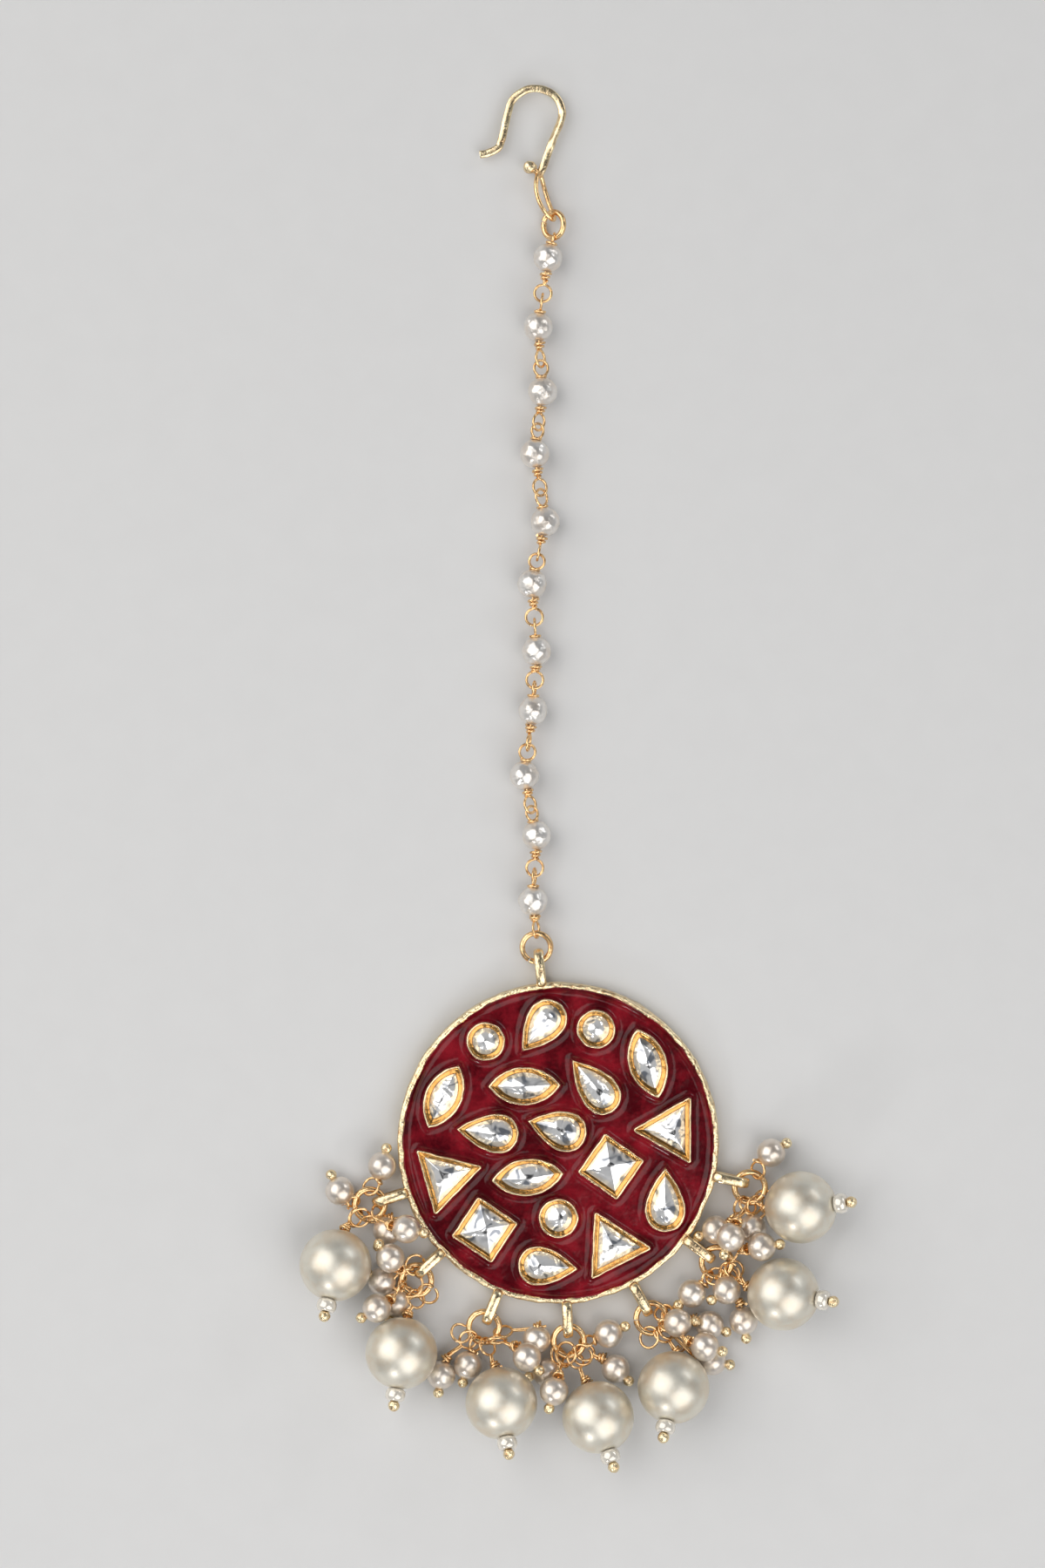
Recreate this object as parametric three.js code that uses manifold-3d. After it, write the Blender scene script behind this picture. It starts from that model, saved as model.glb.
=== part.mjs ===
// A maang tikka, an Indian forehead jewel, lying face up on a table.
//
// A round gilt-brass frame holds red enamel and eighteen foil-backed glass stones, each in a raised
// bezel. A bail at its top carries a chain of pearls on eye pins, which ends in a hair hook. Seven
// loops round its lower edge each carry a drop ring, and each ring one large pearl drop and four
// small ones.
//
// Units are millimetres. The origin is the centre of the frame's flat back, which lies on the
// table, +Z is up, and the chain runs away along +Y.

import * as THREE from "three";
import { ConvexGeometry } from "three/addons/geometries/ConvexGeometry.js";
import { mergeVertices } from "three/addons/utils/BufferGeometryUtils.js";
import Module from "manifold-3d";

const wasm = await Module();
wasm.setup();

// ---- driving dimensions -------------------------------------------------------------------------

const GAP = 0.1; // between pieces that touch on the real jewel
const SHORT_EDGE = 0.01; // anything shorter is tidied away after pieces are joined
const SAME_POINT = 1e-4; // vertices nearer than this are one
const SINK = 0.25; // how far a round piece sinks into the one it is joined to

const FRAME_RADIUS = 18.4;
const PLATE_THICKNESS = 1.0;
const RIM_WIDTH = 0.75;
const RIM_HEIGHT = 2.2;
const RIM_CHAMFER = 0.2;

const BEZEL_WALL = 0.35;
const BEZEL_SEAT = 2.05; // height of the gold ledge that a stone lies on
const BEZEL_TOP = 2.9;
const ENAMEL_TOP = 1.8;
const STONE_INSET = 0.62; // from the bezel's outer edge to the stone's
const STONE_GIRDLE = 0.3;
const STONE_RISE = 0.85;
const STONE_TABLE = 0.4; // the top facet's size as a share of the stone's outline

const LOOP_REACH = 4.0; // how far the bail and the drop loops stand out from the rim
const LOOP_WIDTH = 1.15;
const LOOP_BAR = 0.65;
const LOOP_LOW = 0.1;
const LOOP_HIGH = 2.9;
const BAIL_ANGLE = 96;
const FIRST_DROP_ANGLE = 198;
const DROP_ANGLE_STEP = 25;

const RING_RADIUS = 1.75; // to the middle of the wire, as for every ring below
const RING_WIRE = 0.36; // wire sizes are radii
const RING_HEIGHT = (LOOP_LOW + LOOP_HIGH) / 2;

const BEAD_RADIUS = 1.65;
const PEARL_RADIUS = 4.1;
const SEED_RADIUS = 0.95;
const SEED_HALF_LENGTH = 0.8;
const BALL_RADIUS = 0.62;
const PIN_WIRE = 0.17;
const WRAP_RADIUS = 0.4;
const WRAP_LENGTH = 0.7;
const EYE_HALF_WIDTH = 0.8;

// How finely round things are faceted: sides round, and for a ball, bands from pole to pole.
const RIM_SIDES = 48;
const LOOP_CURVE = 3;
const PEARL_FACETS = [14, 9];
const CHAIN_BEAD_FACETS = [10, 6];
const SMALL_BEAD_FACETS = [8, 5];
const SEED_FACETS = [7, 4];
const PEARL_BALL_FACETS = [6, 4];
const SMALL_BALL_FACETS = [5, 4];
const HOOK_BALL_FACETS = [8, 5];
const HOOK_SECTION_SIDES = 8;
const HOOK_STEPS = 30;
const RING_WIRE_SIDES = 5;
const RING_SIDES = 14;
const STEM_SIDES = 4;
const THICK_BAR_SIDES = 6;
const EYE_CURVE = 2;
const SMALL_EYE_CURVE = 1;

// ---- materials ----------------------------------------------------------------------------------

const GOLD = { color: 0xd8b25a, roughness: 0.25, metalness: 1.0 };
const ENAMEL = { color: 0x5c0410, roughness: 0.15, metalness: 0.0 };
const GLASS = { color: 0xdfe3ea, roughness: 0.05, metalness: 0.6 };
const SMALL_PEARL = { color: 0xd8cdbf, roughness: 0.3, metalness: 0.1 };
const LARGE_PEARL = { color: 0xcfc4a8, roughness: 0.25, metalness: 0.1 };

// ---- tables -------------------------------------------------------------------------------------

// Stones by their bezels. heading is where the round end or a corner points, or a long stone's axis.
const STONES = [
  { shape: "round", x: -8.3, y: 11.7, length: 4.5, width: 4.5, heading: 0 },
  { shape: "pear", x: -2.0, y: 13.3, length: 7.0, width: 4.6, heading: 52 },
  { shape: "round", x: 4.3, y: 13.1, length: 4.5, width: 4.5, heading: 0 },
  { shape: "marquise", x: 10.2, y: 9.2, length: 8.4, width: 4.5, heading: 107 },
  { shape: "marquise", x: -13.1, y: 5.4, length: 8.1, width: 4.3, heading: 64 },
  { shape: "marquise", x: -3.9, y: 6.6, length: 8.4, width: 4.5, heading: 1 },
  { shape: "pear", x: 4.0, y: 6.7, length: 7.6, width: 4.5, heading: -50 },
  { shape: "triangle", x: 12.9, y: 1.6, length: 8.0, width: 8.0, heading: 180 },
  { shape: "pear", x: -8.1, y: 1.3, length: 7.2, width: 4.6, heading: -6 },
  { shape: "pear", x: -0.2, y: 1.7, length: 7.0, width: 4.7, heading: -16 },
  { shape: "triangle", x: -13.0, y: -3.8, length: 8.1, width: 8.1, heading: 256 },
  { shape: "marquise", x: -3.5, y: -3.8, length: 8.4, width: 4.4, heading: 6 },
  { shape: "square", x: 6.0, y: -2.6, length: 5.6, width: 5.6, heading: -35 },
  { shape: "pear", x: 12.2, y: -6.4, length: 7.4, width: 4.7, heading: -90 },
  { shape: "square", x: -8.4, y: -9.8, length: 5.6, width: 5.6, heading: -34 },
  { shape: "round", x: 0.0, y: -8.5, length: 4.6, width: 4.6, heading: 0 },
  { shape: "triangle", x: 6.2, y: -11.7, length: 8.1, width: 8.1, heading: -3 },
  { shape: "pear", x: -1.2, y: -14.0, length: 6.9, width: 4.6, heading: 175 },
];

// Chain beads from the hook down. roll turns the eye below each bead, and the next bead's upper eye
// stands across it.
const CHAIN = [
  { x: -1.2, y: 101.3, roll: 0 },
  { x: -2.3, y: 93.4, roll: 60 },
  { x: -1.8, y: 86.0, roll: 50 },
  { x: -2.7, y: 78.9, roll: 40 },
  { x: -1.5, y: 71.1, roll: 90 },
  { x: -3.0, y: 64.0, roll: 0 },
  { x: -2.5, y: 56.3, roll: 10 },
  { x: -2.9, y: 49.5, roll: 80 },
  { x: -3.9, y: 42.1, roll: 50 },
  { x: -2.5, y: 35.2, roll: 10 },
  { x: -2.9, y: 27.7, roll: 90 },
];

// Large pearl drops, one on each ring from left to right: the pearl's centre, where its seed bead
// points and rises to, and the place on the ring where its eye hangs, from the ring's outermost
// point. Then for the ring, how far its centre stands from the rim, and how far it has swung round
// the frame and tilted.
const LARGE_DROPS = [
  { ring: "a", x: -25.4, y: -13.7, heading: 258, rise: 19, seat: 15, reach: 4.3, swing: 0, tilt: 10 },
  { ring: "b", x: -17.9, y: -23.7, heading: 262, rise: 12, seat: 54, reach: 4.2, swing: 1, tilt: -10 },
  { ring: "c", x: -6.5, y: -29.4, heading: 279, rise: 24, seat: 28, reach: 4.3, swing: 0, tilt: 0 },
  { ring: "d", x: 4.5, y: -31.0, heading: 288, rise: 20, seat: 15, reach: 4.3, swing: 0, tilt: 10 },
  { ring: "e", x: 13.1, y: -27.6, heading: 257, rise: 24, seat: -5, reach: 4.3, swing: 0, tilt: -8 },
  { ring: "f", x: 25.6, y: -17.0, heading: 354, rise: 22, seat: 30, reach: 4.3, swing: 0, tilt: 12 },
  { ring: "g", x: 27.6, y: -7.1, heading: 8, rise: 20, seat: -15, reach: 4.1, swing: -1, tilt: -4 },
];

// Small pearl drops, four on each ring: the pearl's centre, where its gold ball points, and its
// place on the ring.
const SMALL_DROPS = [
  { ring: "a", x: -20.2, y: -2.7, z: 1.65, heading: 77, seat: -95 },
  { ring: "a", x: -25.1, y: -5.5, z: 1.65, heading: 118, seat: -35 },
  { ring: "a", x: -17.4, y: -9.6, z: 4.1, heading: -13, seat: 62 },
  { ring: "a", x: -19.3, y: -10.3, z: 1.65, heading: 241, seat: 100 },
  { ring: "b", x: -19.3, y: -13.1, z: 3.7, heading: 130, seat: -85 },
  { ring: "b", x: -20.2, y: -15.7, z: 1.65, heading: 115, seat: -60 },
  { ring: "b", x: -20.9, y: -18.6, z: 4.1, heading: 212, seat: 5 },
  { ring: "b", x: -19.2, y: -18.2, z: 1.65, heading: 246, seat: -31 },
  { ring: "c", x: -13.5, y: -26.6, z: 1.65, heading: 256, seat: -30 },
  { ring: "c", x: -10.1, y: -25.5, z: 1.65, heading: 248, seat: -2 },
  { ring: "c", x: -3.8, y: -24.2, z: 4.2, heading: -43, seat: 62 },
  { ring: "c", x: -2.9, y: -22.5, z: 1.65, heading: 250, seat: 92 },
  { ring: "d", x: -1.3, y: -26.1, z: 1.65, heading: 195, seat: -55 },
  { ring: "d", x: -0.5, y: -28.0, z: 4.5, heading: 252, seat: -22 },
  { ring: "d", x: 6.5, y: -25.9, z: 1.65, heading: -41, seat: 50 },
  { ring: "d", x: 5.5, y: -21.8, z: 1.65, heading: 25, seat: 88 },
  { ring: "e", x: 17.7, y: -24.9, z: 1.65, heading: -7, seat: 24 },
  { ring: "e", x: 16.7, y: -23.0, z: 4.2, heading: -17, seat: 48 },
  { ring: "e", x: 17.3, y: -21.4, z: 1.65, heading: -35, seat: 72 },
  { ring: "e", x: 14.7, y: -20.6, z: 1.65, heading: 9, seat: 95 },
  { ring: "f", x: 15.2, y: -17.2, z: 1.65, heading: 300, seat: -90 },
  { ring: "f", x: 19.2, y: -17.5, z: 1.65, heading: 235, seat: -30 },
  { ring: "f", x: 21.2, y: -20.6, z: 1.65, heading: -82, seat: 0 },
  { ring: "f", x: 23.1, y: -11.6, z: 4.2, heading: 5, seat: 72 },
  { ring: "g", x: 18.0, y: -9.7, z: 1.65, heading: 200, seat: -108 },
  { ring: "g", x: 19.5, y: -10.6, z: 4.4, heading: 252, seat: -84 },
  { ring: "g", x: 22.1, y: -9.7, z: 1.65, heading: 280, seat: -55 },
  { ring: "g", x: 24.3, y: -1.1, z: 1.65, heading: 29, seat: 78 },
];

// The hook's centre line from its tip, over the crook and down the shank.
const HOOK_HEIGHT = 1.0;
const HOOK_HALF_WIDTH = 0.45;
const HOOK_HALF_THICKNESS = 0.3;
const HOOK_LINE = [
  { x: -9.0, y: 113.2 },
  { x: -8.0, y: 113.4 },
  { x: -6.9, y: 114.0 },
  { x: -6.5, y: 114.9 },
  { x: -5.8, y: 117.9 },
  { x: -5.2, y: 119.5 },
  { x: -3.7, y: 120.6 },
  { x: -2.0, y: 120.7 },
  { x: -0.5, y: 120.0 },
  { x: 0.35, y: 118.6 },
  { x: 0.3, y: 117.2 },
  { x: -0.7, y: 114.7 },
  { x: -1.7, y: 111.9 },
  { x: -2.2, y: 110.8 },
];
const HOOK_EYE_TOP = { x: -2.2, y: 110.9 };
const HOOK_EYE_FOOT = { x: -0.55, y: 105.7 };
const HOOK_EYE_HEIGHT = 1.5;
const HOOK_EYE_HALF_WIDTH = 1.05;
const HOOK_EYE_WIRE = 0.26;
const HOOK_EYE_ROLL = 118;
const HOOK_BALL = { x: -3.25, y: 111.7 };

const TOP_RING = { x: -0.56, y: 105.07, z: 1.5, radius: 1.45, wire: 0.33, tilt: 40 };
const BAIL_RING = { x: -2.5, y: 22.4, z: RING_HEIGHT, radius: 1.65, wire: 0.34, tilt: 0 };

// ---- small helpers ------------------------------------------------------------------------------

const radians = THREE.MathUtils.degToRad;
const vec = (x, y, z) => new THREE.Vector3(x, y, z);
const UP = vec(0, 0, 1);

// The level unit vector at an angle from +X, in degrees, raised by another angle.
function pointing(heading, rise = 0) {
  const level = vec(Math.cos(radians(heading)), Math.sin(radians(heading)), 0);
  return level.multiplyScalar(Math.cos(radians(rise))).setZ(Math.sin(radians(rise)));
}

// A closed geometry as a manifold-3d solid.
function solidOf(geometry) {
  const bare = new THREE.BufferGeometry().setAttribute("position", geometry.getAttribute("position"));
  if (geometry.index) bare.setIndex(geometry.index);
  const merged = mergeVertices(bare, SAME_POINT);
  return new wasm.Manifold(
    new wasm.Mesh({
      numProp: 3,
      vertProperties: merged.attributes.position.array,
      triVerts: new Uint32Array(merged.index.array),
    }),
  );
}

function joined(solids) {
  return solids.reduce((whole, solid) => whole.add(solid));
}

// A manifold-3d solid as a three.js geometry with flat faces.
function geometryOf(solid) {
  const mesh = solid.simplify(SHORT_EDGE).getMesh();
  const positions = new Float32Array(mesh.numVert * 3);
  for (let i = 0; i < mesh.numVert; i++)
    positions.set(mesh.vertProperties.subarray(i * mesh.numProp, i * mesh.numProp + 3), i * 3);
  return new THREE.BufferGeometry()
    .setAttribute("position", new THREE.BufferAttribute(positions, 3))
    .setIndex(new THREE.BufferAttribute(mesh.triVerts, 1))
    .toNonIndexed();
}

const whole = new THREE.Group();

function addPiece(name, solid, material) {
  const geometry = geometryOf(solid);
  geometry.computeVertexNormals();
  const mesh = new THREE.Mesh(geometry, new THREE.MeshStandardMaterial(material));
  mesh.name = name;
  whole.add(mesh);
}

// ---- shapes -------------------------------------------------------------------------------------

function ball(centre, radius, facets) {
  return solidOf(new THREE.SphereGeometry(radius, ...facets).translate(centre.x, centre.y, centre.z));
}

// A straight round bar between two points.
function bar(from, to, radius, sides = STEM_SIDES) {
  const along = to.clone().sub(from);
  const geometry = new THREE.CylinderGeometry(radius, radius, along.length(), sides);
  const turn = new THREE.Quaternion().setFromUnitVectors(vec(0, 1, 0), along.clone().normalize());
  const middle = from.clone().add(to).multiplyScalar(0.5);
  return solidOf(geometry.applyQuaternion(turn).translate(middle.x, middle.y, middle.z));
}

// A flat-sided eye of wire with round ends, from the middle of its near end to the middle of its
// far end. across is any vector in the eye's plane that isn't along it.
function eye(near, far, across, halfWidth, wire, curveSegments = EYE_CURVE) {
  const along = far.clone().sub(near);
  const half = along.length() / 2;
  const turn = Math.min(half, halfWidth);
  const loop = (path, outset) =>
    path
      .absarc(half - turn, 0, turn + outset, -Math.PI / 2, Math.PI / 2)
      .absarc(turn - half, 0, turn + outset, Math.PI / 2, (3 * Math.PI) / 2);
  const shape = loop(new THREE.Shape(), wire);
  shape.holes.push(loop(new THREE.Path(), -wire));
  const options = { depth: 2 * wire, bevelEnabled: false, curveSegments };
  const geometry = new THREE.ExtrudeGeometry(shape, options).translate(0, 0, -wire);
  const x = along.normalize();
  const z = x.clone().cross(across).normalize();
  const y = z.clone().cross(x);
  const middle = near.clone().add(far).multiplyScalar(0.5);
  return solidOf(geometry.applyMatrix4(new THREE.Matrix4().makeBasis(x, y, z).setPosition(middle)));
}

// A vector across a level line, rolled about it by some degrees.
function across(direction, roll) {
  const level = UP.clone().cross(direction).normalize();
  return level.applyAxisAngle(direction.clone().normalize(), radians(roll));
}

// A jump ring as a frame: its centre, the direction of its outermost point, and the one a quarter
// turn on.
function ringFrame(centre, heading, tilt) {
  const out = pointing(heading);
  const side = pointing(heading + 90).applyAxisAngle(out, radians(tilt));
  return { centre, out, side, normal: out.clone().cross(side) };
}

function ringPoint(frame, angle, radius) {
  return frame.centre
    .clone()
    .addScaledVector(frame.out, radius * Math.cos(radians(angle)))
    .addScaledVector(frame.side, radius * Math.sin(radians(angle)));
}

function jumpRing(frame, radius, wire) {
  const geometry = new THREE.TorusGeometry(radius, wire, RING_WIRE_SIDES, RING_SIDES);
  const place = new THREE.Matrix4().makeBasis(frame.out, frame.side, frame.normal);
  return solidOf(geometry.applyMatrix4(place.setPosition(frame.centre)));
}

// ---- stone outlines -----------------------------------------------------------------------------

const ROUND_SIDES = 10;
const ARC_SIDES = 5;

// A long outline's points move in further than its sides, and a pear's middle moves a little too.
const PEAR_INSET = 2.4; // off its whole length, for each millimetre off its sides
const PEAR_SHIFT = 0.2;
const MARQUISE_INSET = 1.6; // off each half of its length

function circle(radius, sides) {
  return new THREE.EllipseCurve(0, 0, radius, radius).getPoints(sides).slice(0, sides);
}

// Each gives an outline about its own middle, counterclockwise, that many millimetres inside the
// bezel's outer edge.
const OUTLINES = {
  round({ width }, inset) {
    return circle(width / 2 - inset, ROUND_SIDES);
  },

  // A drop whose point is at -X: y rises with s and falls to nothing at the point, where s is 1.
  pear({ length, width }, inset) {
    const long = length - PEAR_INSET * inset;
    const half = width / 2 - inset;
    const peak = (3 * Math.sqrt(3)) / 2;
    const point = -long / 2 + PEAR_SHIFT * inset;
    const points = [];
    for (let i = 0; i < ROUND_SIDES; i++) {
      const s = -1 + (2 * i) / ROUND_SIDES;
      const share = 1 - s * s;
      points.push(new THREE.Vector2(point + long * share, half * peak * s * share));
    }
    return points;
  },

  // Two arcs that meet in points at both ends.
  marquise({ length, width }, inset) {
    const half = width / 2 - inset;
    const long = length / 2 - MARQUISE_INSET * inset;
    const arcRadius = (long * long + half * half) / (2 * half);
    const points = [];
    for (const side of [1, -1])
      for (let i = 0; i < ARC_SIDES; i++) {
        const x = side * long * (1 - (2 * i) / ARC_SIDES);
        const y = Math.sqrt(arcRadius ** 2 - x * x) - arcRadius + half;
        points.push(new THREE.Vector2(x, side * y));
      }
    return points;
  },

  triangle({ length }, inset) {
    return polygon(3, length / Math.sqrt(3) - 2 * inset, 0);
  },

  square({ length }, inset) {
    return polygon(4, length / Math.SQRT2 - Math.SQRT2 * inset, 45);
  },
};

function polygon(corners, radius, firstAngle) {
  return Array.from({ length: corners }, (_, i) => {
    const angle = radians(firstAngle + (360 * i) / corners);
    return new THREE.Vector2(radius * Math.cos(angle), radius * Math.sin(angle));
  });
}

// A stone's outline in the frame's plane.
function outline(stone, inset) {
  const centre = new THREE.Vector2(stone.x, stone.y);
  return OUTLINES[stone.shape](stone, inset).map((point) =>
    point.rotateAround(new THREE.Vector2(), radians(stone.heading)).add(centre),
  );
}

function prism(points, low, high, holes = []) {
  const shape = new THREE.Shape(points);
  holes.forEach((hole) => shape.holes.push(new THREE.Path(hole)));
  const geometry = new THREE.ExtrudeGeometry(shape, { depth: high - low, bevelEnabled: false });
  return solidOf(geometry.translate(0, 0, low));
}

// ---- the frame ----------------------------------------------------------------------------------

function plateAndRim() {
  const inner = FRAME_RADIUS - RIM_WIDTH;
  const profile = [
    [0, 0],
    [FRAME_RADIUS, 0],
    [FRAME_RADIUS, RIM_HEIGHT - RIM_CHAMFER],
    [FRAME_RADIUS - RIM_CHAMFER, RIM_HEIGHT],
    [inner + RIM_CHAMFER, RIM_HEIGHT],
    [inner, RIM_HEIGHT - RIM_CHAMFER],
    [inner, PLATE_THICKNESS],
    [0, PLATE_THICKNESS],
  ].map(([r, z]) => new THREE.Vector2(r, z));
  return solidOf(new THREE.LatheGeometry(profile, RIM_SIDES).rotateX(Math.PI / 2));
}

function bezel(stone) {
  const foot = PLATE_THICKNESS - GAP;
  const seat = prism(outline(stone, 0), foot, BEZEL_SEAT);
  const wall = prism(outline(stone, 0), BEZEL_SEAT - GAP, BEZEL_TOP, [outline(stone, BEZEL_WALL)]);
  return seat.add(wall);
}

// A loop that stands on edge at the rim, its hole running round the frame.
function rimLoop(angle) {
  const start = FRAME_RADIUS - RIM_WIDTH / 2;
  const end = FRAME_RADIUS + LOOP_REACH;
  const half = (LOOP_HIGH - LOOP_LOW) / 2;
  const middle = (LOOP_HIGH + LOOP_LOW) / 2;
  const shape = new THREE.Shape();
  shape.moveTo(start, middle - half);
  shape.lineTo(end - half, middle - half);
  shape.absarc(end - half, middle, half, -Math.PI / 2, Math.PI / 2);
  shape.lineTo(start, middle + half);
  const hole = new THREE.Path();
  const slot = half - LOOP_BAR;
  hole.absarc(FRAME_RADIUS + LOOP_BAR + slot, middle, slot, Math.PI / 2, (3 * Math.PI) / 2);
  hole.absarc(end - half, middle, slot, -Math.PI / 2, Math.PI / 2);
  shape.holes.push(hole);
  const options = { depth: LOOP_WIDTH, bevelEnabled: false, curveSegments: LOOP_CURVE };
  const geometry = new THREE.ExtrudeGeometry(shape, options);
  geometry.translate(0, 0, -LOOP_WIDTH / 2).rotateX(Math.PI / 2).rotateZ(radians(angle));
  return solidOf(geometry);
}

const dropAngles = LARGE_DROPS.map((_, i) => FIRST_DROP_ANGLE + i * DROP_ANGLE_STEP);

function frame() {
  const loops = [BAIL_ANGLE, ...dropAngles].map(rimLoop);
  return joined([plateAndRim(), ...STONES.map(bezel), ...loops]);
}

function enamel() {
  const radius = FRAME_RADIUS - RIM_WIDTH - GAP;
  const holes = STONES.map((stone) => outline(stone, -GAP));
  return prism(circle(radius, RIM_SIDES), PLATE_THICKNESS + GAP, ENAMEL_TOP, holes);
}

// A stone with upright sides and a crown that narrows to a small table.
function glassStone(stone) {
  const girdle = outline(stone, STONE_INSET);
  const low = BEZEL_SEAT + GAP;
  const girdleTop = low + STONE_GIRDLE;
  const top = low + STONE_RISE;
  const middle = new THREE.Vector2(stone.x, stone.y);
  const table = girdle.map((point) => point.clone().lerp(middle, 1 - STONE_TABLE));
  const level = (points, z) => points.map(({ x, y }) => vec(x, y, z));
  const corners = [...level(girdle, low), ...level(girdle, girdleTop), ...level(table, top)];
  return solidOf(new ConvexGeometry(corners));
}

// ---- the chain ----------------------------------------------------------------------------------

const WIRE_CLEARANCE = 0.22; // between two eyes, or an eye and the ring that it holds
const CHAIN_MEET = 0.57; // share of the way from one bead to the next at which their eyes cross
const BARE_STEM = 0.05; // between a bead and its unwrapped upper eye
const UPPER_EYE_START = BEAD_RADIUS + BARE_STEM;
const LOWER_EYE_START = BEAD_RADIUS + WRAP_LENGTH;

const topRing = ringFrame(vec(TOP_RING.x, TOP_RING.y, TOP_RING.z), -90, TOP_RING.tilt);
const bailRing = ringFrame(vec(BAIL_RING.x, BAIL_RING.y, BAIL_RING.z), 90, BAIL_RING.tilt);

// Where each bead's eyes end: a little past the ring or the neighbour's eye that they hold.
function chainEnds(i) {
  const beads = CHAIN.map(({ x, y }) => vec(x, y, BEAD_RADIUS));
  const bead = beads[i];
  const past = (point, distance) =>
    point.clone().addScaledVector(point.clone().sub(bead).normalize(), PIN_WIRE + distance);
  const meeting = (j) => past(beads[j].clone().lerp(beads[j + 1], CHAIN_MEET), WIRE_CLEARANCE / 2);
  const holding = (frame, { radius, wire }) => past(ringPoint(frame, 0, radius), wire + WIRE_CLEARANCE);
  return {
    bead,
    upper: i === 0 ? holding(topRing, TOP_RING) : meeting(i - 1),
    lower: i === CHAIN.length - 1 ? holding(bailRing, BAIL_RING) : meeting(i),
  };
}

function beadLink(i) {
  const { bead, upper, lower } = chainEnds(i);
  const up = upper.clone().sub(bead).normalize();
  const down = lower.clone().sub(bead).normalize();
  const rollAbove = i === 0 ? TOP_RING.tilt : CHAIN[i - 1].roll;
  const upperStart = bead.clone().addScaledVector(up, UPPER_EYE_START);
  const lowerStart = bead.clone().addScaledVector(down, LOWER_EYE_START);
  return joined([
    ball(bead, BEAD_RADIUS, CHAIN_BEAD_FACETS),
    bar(bead, upperStart, PIN_WIRE),
    eye(upperStart, upper, across(up, 90 - rollAbove), EYE_HALF_WIDTH, PIN_WIRE),
    bar(bead, lowerStart, WRAP_RADIUS, THICK_BAR_SIDES),
    eye(lowerStart, lower, across(down, CHAIN[i].roll), EYE_HALF_WIDTH, PIN_WIRE),
  ]);
}

// A flattened wire hook, soldered to a long round-wire eye that stands almost on edge, with a ball
// where it closes.
function hairHook() {
  const line = new THREE.CatmullRomCurve3(HOOK_LINE.map(({ x, y }) => vec(x, y, HOOK_HEIGHT)));
  const oval = circle(1, HOOK_SECTION_SIDES).map(
    ({ x, y }) => new THREE.Vector2(x * HOOK_HALF_THICKNESS, y * HOOK_HALF_WIDTH),
  );
  const section = new THREE.Shape(oval);
  const wire = solidOf(new THREE.ExtrudeGeometry(section, { steps: HOOK_STEPS, extrudePath: line }));
  const top = vec(HOOK_EYE_TOP.x, HOOK_EYE_TOP.y, HOOK_EYE_HEIGHT);
  const foot = vec(HOOK_EYE_FOOT.x, HOOK_EYE_FOOT.y, HOOK_EYE_HEIGHT);
  const down = foot.clone().sub(top);
  const tip = vec(HOOK_BALL.x, HOOK_BALL.y, HOOK_EYE_HEIGHT);
  return joined([
    wire,
    eye(top, foot, across(down, HOOK_EYE_ROLL), HOOK_EYE_HALF_WIDTH, HOOK_EYE_WIRE),
    bar(top, tip, HOOK_EYE_WIRE, THICK_BAR_SIDES),
    ball(tip, BALL_RADIUS, HOOK_BALL_FACETS),
  ]);
}

// ---- the drops ----------------------------------------------------------------------------------

const EYE_LENGTH = 2.6;
const SHORT_EYE_LENGTH = 2.2;
const EYE_LEAN = 0.15; // share of an eye's direction that comes from its pearl's, not the ring's
const SMALL_EYE_SLACK = 0.08; // more room in a small drop's coarser eye
const HUB_CLEARANCE = 0.35; // from a loop's end to the middle of its ring's hub

const dropRings = Object.fromEntries(
  LARGE_DROPS.map(({ ring, reach, swing, tilt }, i) => {
    const angle = dropAngles[i] + swing;
    const centre = pointing(angle).multiplyScalar(FRAME_RADIUS + reach).setZ(RING_HEIGHT);
    return [ring, ringFrame(centre, angle, tilt)];
  }),
);

// The eye and stem that hang a pearl on its ring: the eye holds the ring's wire at the seat, and
// the stem runs from the eye's outer end into the pearl's hole.
function hanging(frame, seat, hole, curveSegments, slack) {
  const held = ringPoint(frame, seat, RING_RADIUS);
  const outward = ringPoint(frame, seat, RING_RADIUS + 1).sub(held);
  const toward = outward.lerp(hole.clone().sub(held).normalize(), EYE_LEAN).normalize();
  const clear = RING_WIRE + PIN_WIRE + WIRE_CLEARANCE + slack;
  const far = held.clone().addScaledVector(toward, -clear);
  const length = THREE.MathUtils.clamp(hole.distanceTo(held) + clear, SHORT_EYE_LENGTH, EYE_LENGTH);
  const near = far.clone().addScaledVector(toward, length);
  const tangent = ringPoint(frame, seat + 90, RING_RADIUS).sub(frame.centre).normalize();
  const upright = tangent.clone().cross(toward);
  const loop = eye(near, far, upright, EYE_HALF_WIDTH, PIN_WIRE, curveSegments);
  return { far, solid: loop.add(bar(near, hole, PIN_WIRE)) };
}

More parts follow.
